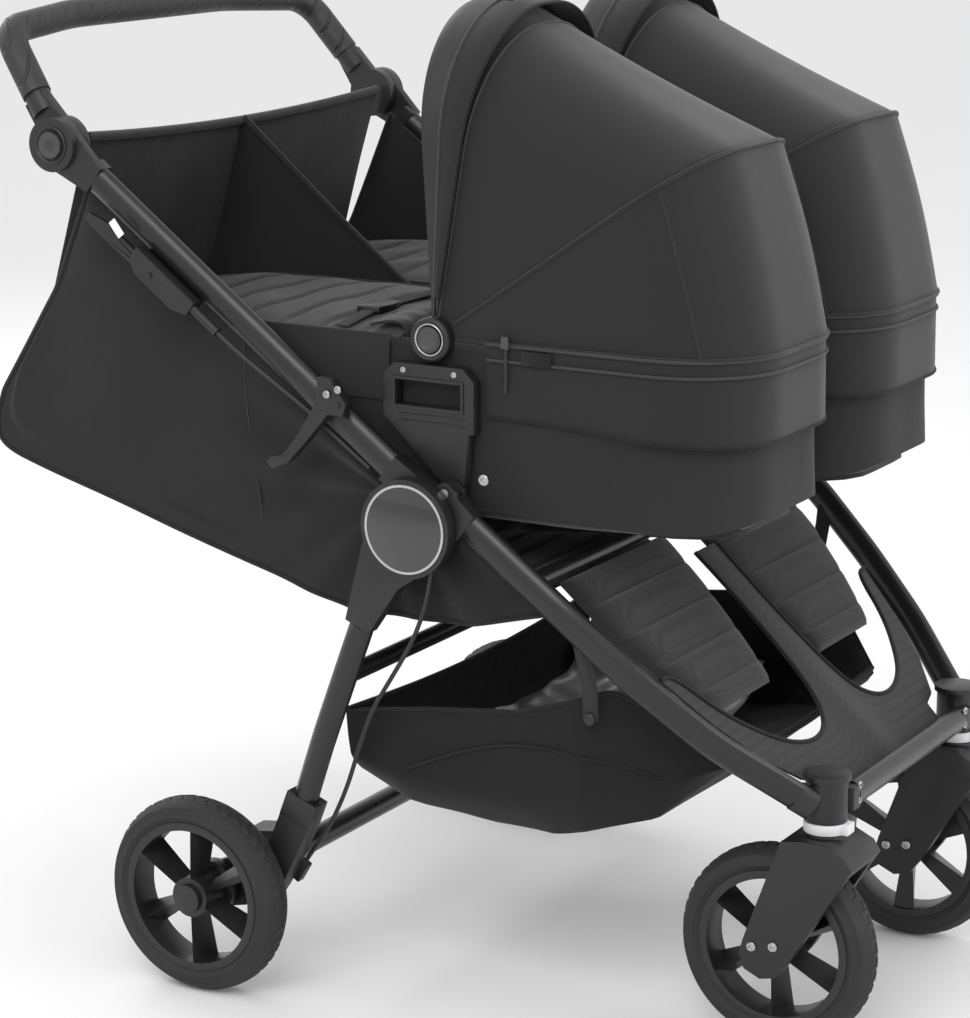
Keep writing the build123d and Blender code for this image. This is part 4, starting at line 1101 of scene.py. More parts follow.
# %% Hub trim, zip pull and tag
HUB_FACE = shell_low.y - 0.012
turned("hood_hub_dish_right", [(0, 0.0228), (0.0012, 0.0222), (0.0022, 0.0205), (0.0014, 0.0178),
                               (0.0006, 0.0172), (0, 0.0168)],
       (HINGE.x, HUB_FACE, HINGE.z), (0, -1, 0), FINISH["hub_plastic"], "hood_right")
turned("hood_hub_ring_right", [(0, 0.0170), (0.0016, 0.0168), (0.0020, 0.0158), (0.0012, 0.0150),
                               (0, 0.0148)],
       (HINGE.x, HUB_FACE, HINGE.z), (0, -1, 0), FINISH["bright_trim"], "hood_right")
turned("hood_button_dish_right", [(0, 0.0112), (0.0008, 0.0112), (0.0014, 0.0104), (0.0004, 0.0086), (0, 0)],
       (HINGE.x, shell_low.y - 0.014, HINGE.z), (0, -1,
               0), FINISH["button_grey"], "hood_button_right")
ZIP_X = 0.150
zip_line = [(ZIP_X, shell_low.y - 0.0058, COT_RIM + 0.012), (ZIP_X + 0.001, shell_low.y - 0.0075,
                                                            COT_RIM - 0.004),
            (ZIP_X + 0.001, shell_low.y - 0.0072, COT_RIM - 0.022), (ZIP_X, shell_low.y - 0.0068,
                                                            COT_RIM - 0.040)]
welt("zip_pull_right", zip_line, 0.0020, "carrycot_right", FINISH["hub_plastic"], flat=0.5,
     side=(0, 1, 0))
plate("zip_slider_right", [(ZIP_X - 0.005, COT_RIM + 0.005), (ZIP_X + 0.005, COT_RIM + 0.005),
      (ZIP_X + 0.004, COT_RIM + 0.018), (ZIP_X - 0.004, COT_RIM + 0.018)],
      shell_low.y - 0.0085, shell_low.y - 0.0045, "Y", FINISH["button_grey"], "carrycot_right",
      bevel=0.001)
plate("sewn_tag_right", [(ZIP_X + 0.018, COT_RIM - 0.010), (ZIP_X + 0.052, COT_RIM - 0.010),
      (ZIP_X + 0.052, COT_RIM + 0.004), (ZIP_X + 0.018, COT_RIM + 0.004)],
      shell_low.y - 0.0058, shell_low.y - 0.0048, "Y", BINDING, "carrycot_right", bevel=0.0003)
print("hub, zip and tag done")

# %% [markdown]
# ### The bracket's details
# The CAD bracket has the handle slot and the tongue. Here it gets the raised lip round the slot, two
# ribs below it and a pair of screws.

# %% Bracket trim
bracket_low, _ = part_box("carrycot_bracket_right")
BRACKET_FACE = bracket_low.y


def frame_ring(name, low, high, border, depth, face_y, material, body):
    """A flat rectangular frame, raised from a face that looks to -Y."""
    nothing_selected()
    bpy.ops.mesh.primitive_plane_add(size=1)
    piece = bpy.context.object
    piece.name = name
    corners = [(low[0], low[1]), (high[0], low[1]), (low[0], high[1]), (high[0], high[1])]
    for vertex, (x, z) in zip(piece.data.vertices, corners):
        vertex.co = (x, face_y, z)
    bpy.ops.object.mode_set(mode="EDIT")
    bpy.ops.mesh.select_all(action="SELECT")
    bpy.ops.mesh.inset(thickness=border)
    bpy.ops.mesh.delete(type="FACE")
    bpy.ops.mesh.select_all(action="SELECT")
    bpy.ops.mesh.extrude_region_move(TRANSFORM_OT_translate={"value": (0, -depth, 0)})
    bpy.ops.object.mode_set(mode="OBJECT")
    outward(piece)
    edge = piece.modifiers.new("edge", "BEVEL")
    edge.width = min(border, depth) * 0.3
    edge.segments = 2
    apply_all(piece)
    return finish_piece(piece, material, body, degrees=35)


frame_ring("bracket_lip_right", (0.0235, 0.6605), (0.1075, 0.6935), 0.0032, 0.0016, BRACKET_FACE,
           FINISH["hub_plastic"],
           "carrycot_right")
for number, level in enumerate((0.6535, 0.6465)):
    plate("bracket_rib_" + str(number) + "_right", [(0.030, level), (0.108, level), (0.108, level + 0.0022),
                                                    (0.030, level + 0.0022)],
          BRACKET_FACE - 0.0012, BRACKET_FACE + 0.0005, "Y", FINISH["hub_plastic"], "carrycot_right",
          bevel=0.0005)
for number, (x, z) in enumerate(((0.036, 0.7000), (0.096, 0.7000))):
    cap_screw("bracket_screw_" + str(number) + "_right", (x, BRACKET_FACE + 0.0006, z), (0, -1, 0), 0.0032,
              0.0016, "carrycot_right")
print("bracket trimmed")

# %% [markdown]
# ### Apron at the foot end
# Behind the hood the tub is closed by a quilted cover: a padded top with sewn channels across it, a
# folded flap along its front, a strap with a buckle, and a skirt that grips the tub. It is laid as
# two sheets, top and skirt, and stuffed by the depth of its channels.


# %% Apron
apron_low, apron_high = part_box("carrycot_apron_right")
APRON_FRONT = apron_high.x


def apron_place(u, v):
    """u from the rear end forwards, v from the outer side to the inner one; crowned, with channels across."""
    x = mixed(apron_low.x, APRON_FRONT, u)
    begin = max(0.0, min(1.0, (x - apron_low.x) / 0.1))
    half = (COT_HALF_Y + 0.0025) - (0.1 * (1 - math.sqrt(max(0.0,
                                                            1 - (1 - begin) ** 2))) if begin < 1 else 0.0)
    side = 2 * v - 1
    y = COT_MIDDLE.y + half * side
    edge = (1 - abs(side) ** 4) * (1 - (1 - begin) ** 4)
    channel = ridge(x + 0.02, 0.052, 0.008)
    puff = 0.010 * edge - 0.0055 * channel * edge
    soft = 0.0012 * math.sin(x * 71 + y * 43) * edge
    return (x, y, COT_RIM + 0.0055 + puff + soft)


apron_top = lay_sheet("cot_apron_top_right", 150, 64, apron_place)
thicken(apron_top, 0.0045)
outward(apron_top)
finish_piece(apron_top, FINISH["quilted_cloth"], "carrycot_right",
             replaces=["carrycot_apron_right"])
apron_start = 1.0 - share_at_side(0.012)


def apron_skirt_place(u, v):
    """u round the rear end from side to side, v from the cover's edge down to the gripping hem."""
    share = mixed(apron_start - 1.0, 1.0 - apron_start, u)
    x, y = tub_point(share % 1.0, 0.0008 + 0.0012 * math.sin(math.pi * v))
    return (x, y, mixed(COT_RIM + 0.0075, 0.664, v))


apron_skirt = lay_sheet("cot_apron_skirt_right", 120, 10, apron_skirt_place)
thicken(apron_skirt, 0.0018)
outward(apron_skirt)
finish_piece(apron_skirt, FINISH["cot_cloth"], "carrycot_right")
rim_line = [apron_skirt_place(k / 60, 0.02) for k in range(61)]
welt("cot_apron_welt_right", rim_line, 0.0022, "carrycot_right", FINISH["cot_cloth"])
hem_line = [apron_skirt_place(k / 60, 1.0) for k in range(61)]
welt("cot_apron_hem_right", hem_line, 0.0018, "carrycot_right", BINDING)


def flap_place(u, v):
    """The folded flap along the front of the apron: u across, v over its rolled edge."""
    side = 2 * u - 1
    turn = v * math.pi * 1.15
    x = APRON_FRONT - 0.030 + 0.034 * math.sin(turn * 0.55)
    z = COT_RIM + 0.0165 + 0.007 * math.sin(turn) - 0.004 * v - 0.004 * side ** 4
    return (x - 0.010 * (1 - v), COT_MIDDLE.y + (COT_HALF_Y - 0.006) * side, z + 0.0006 * math.sin(u * 60))


flap = lay_sheet("cot_apron_flap_right", 60, 14, flap_place)
thicken(flap, 0.003)
outward(flap)
finish_piece(flap, FINISH["cot_cloth"], "carrycot_right")
strap_x = APRON_FRONT - 0.075
strap_line = [(strap_x, COT_MIDDLE.y - COT_HALF_Y + 0.004, COT_RIM + 0.010),
              (strap_x + 0.003, COT_MIDDLE.y - 0.09, COT_RIM + 0.0185),
              (strap_x + 0.001, COT_MIDDLE.y, COT_RIM + 0.0195), (strap_x - 0.002, COT_MIDDLE.y + 0.09,
                                                            COT_RIM + 0.0185),
              (strap_x, COT_MIDDLE.y + COT_HALF_Y - 0.004, COT_RIM + 0.010)]
welt("cot_apron_strap_right", strap_line, 0.0085, "carrycot_right", WEBBING, flat=0.14,
     side=(0, 0, 1))
plate("cot_apron_buckle_right", [(strap_x - 0.013, COT_MIDDLE.y - 0.085),
                                 (strap_x + 0.015, COT_MIDDLE.y - 0.085),
      (strap_x + 0.018, COT_MIDDLE.y - 0.060), (strap_x + 0.013, COT_MIDDLE.y - 0.038), (strap_x - 0.011,
                                                            COT_MIDDLE.y - 0.038),
      (strap_x - 0.016,
       COT_MIDDLE.y - 0.060)], COT_RIM + 0.0150, COT_RIM + 0.0235, "Z", FINISH["hub_plastic"],
      "carrycot_right", bevel=0.002)
print("apron done")

# %% [markdown]
# ### The left carrycot
# The pushchair is symmetric, so each piece of the right carrycot is copied with its own mesh to the
# left side. The pieces over the hood ride on no body, and on both sides their transforms are baked into their
# meshes.

# %% Copy the right carrycot to the left
FANNED = ("hood_cloth", "hood_rib_welt", "hood_band_welt", "hood_front_welt", "hood_corner_seam",
          "hood_corner_seam_inner")
STANDS_FOR = {"cot_cover": ["carrycot_shell_left"], "cot_mattress": ["carrycot_mattress_left"],
              "cot_apron_top": ["carrycot_apron_left"], "hood_cloth": ["hood_fabric_left"]}
for name in list(made):
    base = name[:-len("_right")]
    piece = bpy.data.objects[name]
    fanned = base in FANNED
    body = None if fanned else piece["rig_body"].replace("right", "left")
    other = mirrored(piece, base + "_left", body, STANDS_FOR.get(base, ()))
    if fanned:
        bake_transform(piece)
        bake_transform(other)
print("carrycot pieces:", len(made))

# %% [markdown]
# ## The seat
# The stroller's own seat hangs between the tubes: two side panels, a rear wall, a divider, two
# reclined backs, and for each child a quilted cushion with a calf pad. All of it is cloth or foam, so
# each piece gets its own curved sheet or swollen pad in place of the flat CAD solid.

# %% Where the seat is
BODY_OF = {node: body for body, nodes in record["behaviour"]["bodies"].items() for node in nodes}
SEAT_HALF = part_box("seat_backs")[1].y
UPPER_REAR, UPPER_FRONT = Vector((-0.350, 0, 0.8844)), Vector((0.028, 0, 0.6009))
seat_body = BODY_OF.get("side_panels", "lower_frame")
print("seat half width", round(SEAT_HALF, 4), "on", seat_body)


def along(path, share):
    """The point this share of the way along a polyline of (x, z)."""
    lengths = [math.dist(a, b) for a, b in zip(path, path[1:])]
    way = share * sum(lengths)
    for (a, b), length in zip(zip(path, path[1:]), lengths):
        if way <= length:
            return mixed(a[0], b[0], way / length), mixed(a[1], b[1], way / length)
        way -= length
    return path[-1]


# %% [markdown]
# ### Side panels
# A panel is sewn to the upper tube along its top and is free below. Gathers run out from the hub,
# where the cloth is held, and the rest hangs nearly flat with a slow ripple.

# %% Side panels with bound edges
HEM = [(-0.350, 0.8844), (-0.409, 0.746), (-0.490, 0.624), (-0.500, 0.590), (-0.497, 0.570), (-0.480, 0.558),
       (-0.435, 0.545), (-0.233, 0.4905), (-0.031, 0.436), (0.110, 0.438), (0.205, 0.462), (0.214, 0.465),
       (0.184, 0.480), (0.166, 0.504), (0.125, 0.532), (0.070, 0.545), (0.052, 0.575), (0.028, 0.6009)]


def panel_place(u, v):
    """u along the top seam from rear to front, v from the seam down to the hem."""
    x_top, z_top = mixed(UPPER_REAR.x, UPPER_FRONT.x, u), mixed(UPPER_REAR.z, UPPER_FRONT.z, u)
    x_low, z_low = along(HEM, u)
    x, z = mixed(x_top, x_low, v), mixed(z_top, z_low, v)
    away = math.dist((x, z), (0.02, 0.565))
    angle = math.atan2(z - 0.565, x - 0.02)
    held = math.sin(math.pi * min(1.0, v * 1.1)) if v < 0.9 else 0.5
    gather = 0.0030 * math.exp(-((away - 0.10) / 0.09) ** 2) * math.sin(angle * 13)
    slow = 0.0024 * math.sin(x * 15 + z * 9) * held + 0.0016 * math.sin(x * 31 - z * 22 + 1.3) * held
    billow = 0.003 * math.sin(math.pi * min(1.0, v)) * math.sin(math.pi * u)
    return (x, -(SEAT_HALF + 0.0048 + billow + slow + gather), z)


panel = lay_sheet("side_panel_right", 130, 70, panel_place)
thicken(panel, 0.0014, offset=0.0)
outward(panel)
finish_piece(panel, FINISH["seat_cloth"], seat_body, replaces=["side_panels"])
hem_line = [panel_place(k / 90, 0.995) for k in range(91)]
welt("side_panel_hem_right", hem_line, 0.0034, seat_body, BINDING, flat=0.5, side=(0, 1, 0))
seam_line = [panel_place(u, v) for u, v in ((0.50, 0.03), (0.515, 0.3), (0.54, 0.6), (0.55, 0.97))]
welt("side_panel_seam_right", seam_line, 0.0013, seat_body, FINISH["seat_cloth"])
for number, (u_start, u_end) in enumerate(((0.80, 0.70), (0.88, 0.84))):
    fold_line = [panel_place(mixed(u_start, u_end, k / 8), 0.1 + 0.86 * k / 8) for k in range(9)]
    welt("side_panel_tuck_" + str(number) + "_right", fold_line, 0.0012, seat_body, FINISH["seat_cloth"])


# %% [markdown]
# ### Rear wall and divider
# The rear wall hangs from a rolled hem between the tubes. The divider is a slack sheet with a
# piped top edge that sags a little between its ends.


# %% Rear wall
WALL = [(-0.363, 0.914), (-0.387, 0.832), (-0.411, 0.747), (-0.452, 0.684), (-0.491, 0.624), (-0.498, 0.603)]


def wall_place(u, v):
    """u across the seat, v from the top hem down."""
    x, z = along(WALL, v)
    side = 2 * u - 1
    sag = -0.010 * (1 - side ** 2) * (1 - v)
    centre = abs(side)
    slack = 0.005 * math.sin(math.pi * v) * math.sin(math.pi * centre)
    ripple = -0.0012 * math.sin(side * 7 + v * 4) ** 2 * math.sin(math.pi * v)
    return (x - 0.003 - slack + ripple, (SEAT_HALF - 0.001) * side, z + sag)


wall = lay_sheet("seat_rear_wall", 96, 48, wall_place)
thicken(wall, 0.0022, offset=0.0)
outward(wall)
finish_piece(wall, FINISH["seat_cloth"], seat_body, replaces=["seat_walls"])
welt("seat_wall_hem", [wall_place(k / 40, 0.0) for k in range(41)], 0.0052, seat_body, FINISH["seat_cloth"])

# %% Divider
DIVIDER_TOP = [(-0.3615, 0.910), (-0.250, 0.822), (-0.150, 0.743), (-0.070, 0.686), (0.0, 0.637)]
DIVIDER_LOW = [(-0.486, 0.612), (-0.470, 0.592), (-0.300, 0.540), (-0.100, 0.481), (0.0, 0.502)]


def divider_place(u, v):
    """u from the rear forwards, v from the piped top down."""
    x_top, z_top = along(DIVIDER_TOP, u)
    x_low, z_low = along(DIVIDER_LOW, u)
    sag = -0.006 * math.sin(math.pi * u) * (1 - v)
    slack = 0.0035 * math.sin(u * 11 + v * 3) * math.sin(math.pi * v)
    return (mixed(x_top, x_low, v), slack, mixed(z_top, z_low, v) + sag)


divider = lay_sheet("seat_divider", 72, 40, divider_place)
thicken(divider, 0.0024, offset=0.0)
outward(divider)
finish_piece(divider, FINISH["seat_cloth"], seat_body)
for label, shift in (("left", 0.0026), ("right", -0.0026)):
    piping = [Vector(divider_place(k / 30, 0.012)) + Vector((0, shift, 0)) for k in range(31)]
    welt("divider_piping_" + label, piping, 0.0021, seat_body, BINDING)

# %% [markdown]
# ### Backs, cushions and calf pads
# These are padded pieces shaped in code, with no simulation. `pad_on` lays a closed grid over an
# outline given in the plane's own two directions. Its top is crowned, and dips at each channel.


# %% Padded blocks on a plane
def pad_on(name, origin, along_axis, across_axis, outline, thick, channels=(), groove=0.0045, fall=0.012):
    """A quilted pad over an outline of (start, near, far) rows, thick outwards, with its channels."""
    normal = along_axis.cross(across_axis).normalized()
    rows = 84
    columns = 40

    def half_at(s):
        for (s0, n0, f0), (s1, n1, f1) in zip(outline, outline[1:]):
            if s <= s1:
                share = (s - s0) / max(s1 - s0, 1e-9)
                return mixed(n0, n1, share), mixed(f0, f1, share)
        return outline[-1][1:]

    def place(u, v):
        s = mixed(outline[0][0], outline[-1][0], u)
        near, far = half_at(s)
        loop = v * 2.0
        over = loop <= 1.0
        t = loop if over else 2.0 - loop
        side = 2 * t - 1
        edge = (1 - abs(side) ** 6) * (1 - abs(2 * u - 1) ** 14)
        dip = max((max(0.0, 1 - abs(s - c) / fall) ** 2 for c in channels), default=0.0)
        roll = thick * edge ** 0.5
        height = roll - groove * dip * edge if over else 0.0
        across = mixed(near, far, t)
        return origin + along_axis * s + across_axis * across + normal * (height if over else 0.0006 * edge)

    pad = lay_sheet(name, rows, columns * 2, place, close_u=False)
    outward(pad, 0.0004)
    return pad


def lay_pads(kind, origin, along_axis, across, outline, thick, channels, node, slot="quilted_cloth"):
    """A pad of the right seat and its copy for the left one, both ridden; the right one stands for the CAD
    node.
    """
    body = BODY_OF.get(node, seat_body)
    right = pad_on(kind + "_right", origin, along_axis, across, outline, thick, channels)
    finish_piece(right, FINISH[slot], body, replaces=[node], degrees=70)
    left = mirrored(right, kind + "_left", body)
    return right


back_axis = Vector((0.960, 0, -0.279))
lay_pads("seat_back", Vector((-0.476, 0, 0.580)), back_axis, Vector((0, 1, 0)),
         [(0.0, -0.292, -0.008), (0.10, -0.292, -0.006), (0.470, -0.292, -0.006)], 0.013,
         (0.06, 0.12, 0.18, 0.24, 0.30, 0.36, 0.42), "seat_backs")
lay_pads("seat_cushion", Vector((-0.012, 0, 0.4535)), Vector((0.985, 0, 0.100)).normalized(),
         Vector((0, 1, 0)),
         [(0.0, -0.291, -0.008), (0.03, -0.292, -0.007), (0.186, -0.289, -0.009)], 0.016,
         (0.05, 0.10, 0.15), "seat_pads")
calf_axis = Vector((0.733, 0, -0.680))
calf = pad_on("calf_pad_right", Vector((0.2025, 0, 0.479)), calf_axis, Vector((0, 1, 0)),
              [(-0.010, -0.266, -0.030), (0.060, -0.260, -0.034), (0.120, -0.238, -0.044),
               (0.190, -0.203, -0.062)], 0.0118,
              (0.030, 0.075, 0.120, 0.163), 0.0055, 0.009)
finish_piece(calf, FINISH["quilted_cloth"], BODY_OF.get("seat_pads", seat_body), degrees=70)
mirrored(calf, "calf_pad_left", BODY_OF.get("seat_pads", seat_body))
for name in ("side_panel_right", "side_panel_hem_right", "side_panel_seam_right", "side_panel_tuck_0_right",
             "side_panel_tuck_1_right"):
    mirrored(bpy.data.objects[name], name.replace("_right", "_left"), seat_body)
print("seat pieces so far:", len(made))

# %% [markdown]
# ### Footwell apron
# The apron is a smooth, firm sheet between the front tubes, with a U opening over each footwell and a
# spine up the middle. Its sheet is laid from the spine's line outwards; the openings have bound edges.

# %% Apron with bound edges
apron_box_low, apron_box_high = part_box("footwell_apron")
APRON_OUT = [(0.118, 0.262), (0.186, 0.241), (0.240, 0.213), (0.282, 0.176), (0.289, 0.150), (0.322, 0.146)]
APRON_IN = [(0.012, 0.026), (0.060, 0.024), (0.150, 0.026), (0.215, 0.036), (0.246, 0.060), (0.256, 0.098),
            (0.246, 0.140),
            (0.225, 0.172), (0.180, 0.214), (0.120, 0.240), (0.118, 0.262)]
slope = math.atan2(apron_box_high.z - apron_box_low.z, apron_box_high.x - apron_box_low.x)
apron_origin = Vector((apron_box_low.x - 0.012 * math.cos(slope), 0,
                       apron_box_high.z + 0.012 * math.sin(slope)))
apron_along = Vector((math.cos(slope), 0, -math.sin(slope)))
apron_up = Vector((math.sin(slope), 0, math.cos(slope)))


def smooth_path(path, rounds=2):
    """A polyline with its corners cut, twice over."""
    for _ in range(rounds):
        cut = [path[0]]
        for a, b in zip(path, path[1:]):
            cut += [(mixed(a[0], b[0], 0.25), mixed(a[1], b[1], 0.25)),
                    (mixed(a[0], b[0], 0.75), mixed(a[1], b[1], 0.75))]
        cut.append(path[-1])
        path = cut
    return path


def apron_point(s, t, lift=0.0):
    """A point of the apron's plane, s along the slope and t across, slightly crowned across its spine."""
    crown = 0.003 * math.exp(-(t / 0.03) ** 2)
    return apron_origin + apron_along * s + Vector((0, t, 0)) + apron_up * (lift + crown - 0.002)


inner_edge = smooth_path(APRON_IN)
outer_edge = [(0.322, 0.0)] + [(0.322, 0.146)] + APRON_OUT[::-1][1:]


def half_apron_place(u, v):
    """u from the spine's top round the opening to the outer tip, v from the opening's edge outwards."""
    s_in, t_in = along(inner_edge, u)
    if u < 0.40:
        s_out, t_out = s_in if u < 0.30 else mixed(0.20, 0.322, (u - 0.30) / 0.10), 0.0
        if u < 0.30:
            s_out = mixed(0.012, 0.20, u / 0.30)
    else:
        s_out, t_out = along(outer_edge, (u - 0.40) / 0.60)
    return apron_point(mixed(s_in, s_out, v), mixed(t_in, t_out, v), 0.0)


def on_side(point, sense):
    """The point on the right (sense -1) or left (1) half of the pushchair."""
    return point.x, sense * point.y, point.z


for label, sense in (("right", -1), ("left", 1)):
    half = lay_sheet("footwell_apron_" + label, 120, 20,
                     lambda u, v: on_side(half_apron_place(u, v), sense))
    outward(half)
    only(half)
    thicken(half, 0.0026, offset=-1.0)
    outward(half)
    finish_piece(half, FINISH["apron_cloth"], BODY_OF.get("footwell_apron", seat_body),
                 replaces=["footwell_apron"] if label == "right" else ())
    bound = [on_side(apron_point(s, t, 0.0003), sense) for s, t in inner_edge]
    welt("apron_binding_" + label, bound, 0.0026, BODY_OF.get("footwell_apron", seat_body), BINDING)
print("apron slope", round(math.degrees(slope), 1))

# %% [markdown]
# ## The basket
# The basket is a slack cloth tub. Its rim is bound and curved, its long sides belly outwards and sag
# between the strap and the rear, and the front narrows to a rounded nose. Inside, a silvery lining
# sheet shows, crumpled.

# %% Basket
BASKET_RIM = [(-0.056, 0.316), (0.05, 0.333), (0.157, 0.346), (0.256, 0.379), (0.302, 0.349), (0.350, 0.300)]
BASKET_BOTTOM = [(-0.046, 0.243), (0.010, 0.217), (0.100, 0.211), (0.190, 0.209), (0.290, 0.232),
                 (0.352, 0.286)]
BASKET_HALF = SEAT_HALF - 0.0135


def basket_half_at(x):
    """Half width at this x: full behind the straps, then narrowing towards the nose."""
    return BASKET_HALF if x < 0.226 else BASKET_HALF - (x - 0.226) * 0.62


def basket_place(u, v):
    """u from the right rim round under the bottom to the left rim, v from the rear end forwards."""
    x_rim, z_rim = along(BASKET_RIM, v)
    x_low, z_low = along(BASKET_BOTTOM, v)
    x = x_low if abs(2 * u - 1) < 0.5 else mixed(x_low, x_rim, (abs(2 * u - 1) - 0.5) / 0.5)
    half = basket_half_at(x)
    side = 1 if u > 0.5 else -1
    spread = abs(2 * u - 1)
    if spread < 0.5:
        y = side * half * (spread / 0.5) * 0.93
        z = z_low + 0.004 * (1 - math.cos(math.pi * spread / 0.5)) * 0.5 - 0.001
    else:
        up = (spread - 0.5) / 0.5
        turn = min(1.0, up / 0.35)
        y = side * half * (0.93 + 0.07 * math.sin(turn * math.pi / 2))
        z = mixed(z_low + 0.004, z_rim, up)
        y -= side * 0.006 * max(0.0, up - 0.35)
    wave = 0.0030 * math.sin(x * 37 + spread * 9 * side) * math.sin(math.pi * min(1.0,
                                                            spread * 1.2)) if spread < 0.83 else 0.0
    return (x, y - side * abs(wave), z)


basket = lay_sheet("basket_tub", 120, 64, basket_place)
outward(basket)
thicken(basket, 0.0020)
outward(basket)
finish_piece(basket, FINISH["basket_cloth"], BODY_OF.get("basket", "lower_frame"),
             replaces=["basket"])
basket_body = BODY_OF.get("basket", "lower_frame")


def end_place(v_end, shift):
    """A flat end of the basket between its two sides, from the bottom to the rim."""
    def place(u, v):
        bottom = Vector(basket_place(mixed(0.25, 0.75, u), v_end))
        rim_x, rim_z = along(BASKET_RIM, v_end)
        half = basket_half_at(rim_x) - 0.004
        top = Vector((rim_x, half * (2 * u - 1), rim_z - 0.012 * math.sin(math.pi * u)))
        point = bottom.lerp(top, v)
        bow = math.sin(math.pi * u) * math.sin(math.pi * v) * shift
        return (point.x + bow, point.y, point.z)
    return place


for label, v_end, shift in (("rear", 0.0, -0.004), ("front", 1.0, 0.005)):
    end = lay_sheet("basket_" + label, 60, 20, end_place(v_end, shift))
    thicken(end, 0.0018, offset=0.0)
    outward(end)
    finish_piece(end, FINISH["basket_cloth"], basket_body)
    welt("basket_" + label + "_rim", [end_place(v_end, shift)(k / 30, 1.0) for k in range(31)], 0.0032,
         basket_body, BINDING)
for label, u_rim in (("right", 0.0), ("left", 1.0)):
    welt("basket_rim_" + label, [basket_place(u_rim, 0.04 + 0.96 * k / 40) for k in range(41)], 0.0022,
         basket_body, BINDING)
    side = -1 if label == "right" else 1
    pocket = []
    for k in range(25):
        share = k / 24
        x = mixed(0.02, 0.30, share)
        z = 0.262 + 0.05 * math.sin(math.pi * share * 0.85)
        pocket.append((x, side * (basket_half_at(x) - 0.0005), z))
    welt("basket_pocket_seam_" + label, pocket, 0.0014, basket_body, BINDING)
    turned("basket_stud_" + label, [(0, 0.0068), (0.0016, 0.0066), (0.0026, 0.0052), (0.0026, 0.0)],
           (0.241, side * (BASKET_HALF + 0.0005), 0.352), (0, side,
                   0), FINISH["hub_plastic"], basket_body, steps=20)
    tape_line = [(0.241, side * (BASKET_HALF - 0.003), 0.350), (0.241, side * (BASKET_HALF - 0.001), 0.385),
                 (0.241, side * (0.319 - 0.0155), 0.436), (0.241, side * (0.319 - 0.0125), 0.455)]
    welt("basket_tape_" + label, tape_line, 0.0090, basket_body, WEBBING, flat=0.16,
         side=(0, 1, 0))
    print("strap on", label)


def inner_place(u, v):
    """The lining's sheet: it lies on the basket's floor and one side, crumpled."""
    x = mixed(-0.03, 0.20, v)
    y = mixed(-0.235, 0.235, u)
    _, z_low = along(BASKET_BOTTOM, 0.1 + 0.5 * v)
    crumple = 0.006 * math.sin(x * 61 + 2 * math.sin(y * 23)) * math.sin(y * 37 + 1.7 * math.sin(x * 29))
    edge = max(0.0, abs(2 * u - 1) - 0.6) / 0.4
    return (x, y, z_low + 0.016 + crumple + 0.055 * edge ** 2)


lining_sheet = lay_sheet("basket_lining", 110, 60, inner_place)
thicken(lining_sheet, 0.0012, offset=0.0)
outward(lining_sheet)
SILVER = coated_metal("silver_lining_film", 0.28)
finish_piece(lining_sheet, SILVER, basket_body, degrees=70)
print("basket done:", len(made), "pieces")

# %% [markdown]
# ## Wheels and small hard parts
# The tyre's tread is two rows of raised blocks in a zigzag, laid on a rounded crown just proud of the
# CAD tyre.

# %% Tread blocks
def tread(name, centre, body, half, radius):
    """Two rows of slanted blocks with a wavy groove between them."""
    blocks = 44
    steps = 352
    columns = 28

    def place(u, v):
        side = 2 * v - 1
        y = side * half
        fall = radius - 0.0005 - 0.0068 * abs(side) ** 3.2
        phase = (u * blocks + 0.5 * (side > 0) + 0.35 * abs(side)) % 1.0
        middle = 0.10 + 0.05 * math.sin(u * blocks * 2 * math.pi)
        raised = 1.0 if 0.16 < phase < 0.84 and abs(side) > middle and abs(side) < 0.93 else 0.0
        r = fall + (0.0013 if raised else -0.0016)
        angle = 2 * math.pi * u
        return (centre.x + r * math.cos(angle), centre.y + y, centre.z + r * math.sin(angle))

    piece = lay_sheet(name, steps, columns, place, close_u=True)
    outward(piece, 0.0)
    return finish_piece(piece, FINISH["tyre"], body, degrees=25)


for row in record["subparts"]:
    name = row["node"]
    if row["material_slot"] == "tyre":
        low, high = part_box(name)
        centre = (low + high) / 2
        tread("tread_" + name, centre, BODY_OF[name], (high.y - low.y) / 2 * 0.62, (high.z - low.z) / 2)
print("treads done")

# %% [markdown]
# ### Caps, screws and rings
# Small turned pieces are put on the bosses: a dished button and ring at the handle's pivots,
# socket-head screws at the fork's feet and a stepped cap on each rear wheel. The fold hub's ring and
# disc are CAD nodes.

# %% Bosses on both sides
def both(kind, profile, place, slot, body, steps=40, bodies=None):
    """The same turned piece on the right and left outer faces; place is given for the right."""
    for label, sense in (("right", -1), ("left", 1)):
        turned(kind + "_" + label, profile, (place[0], sense * abs(place[1]), place[2]), (0, sense, 0),
               FINISH[slot], body if bodies is None else bodies[label], steps=steps)


sockets_low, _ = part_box("handle_sockets")
pivot = joint_place["handlebar_tilt"]
both("handle_hub_ring", [(0, 0.0205), (0.0012, 0.0203), (0.0020, 0.0190), (0.0010, 0.0168),
                         (0.0002, 0.0162), (0, 0.0155)],
     (pivot.x, sockets_low.y, pivot.z), "hub_plastic", BODY_OF["handle_sockets"])
both("handle_hub_button", [(0, 0.0120), (0.0016, 0.0119), (0.0026, 0.0106), (0.0030, 0.0070), (0.0031, 0.0)],
     (pivot.x, sockets_low.y, pivot.z), "gloss_plastic", BODY_OF["handle_sockets"])

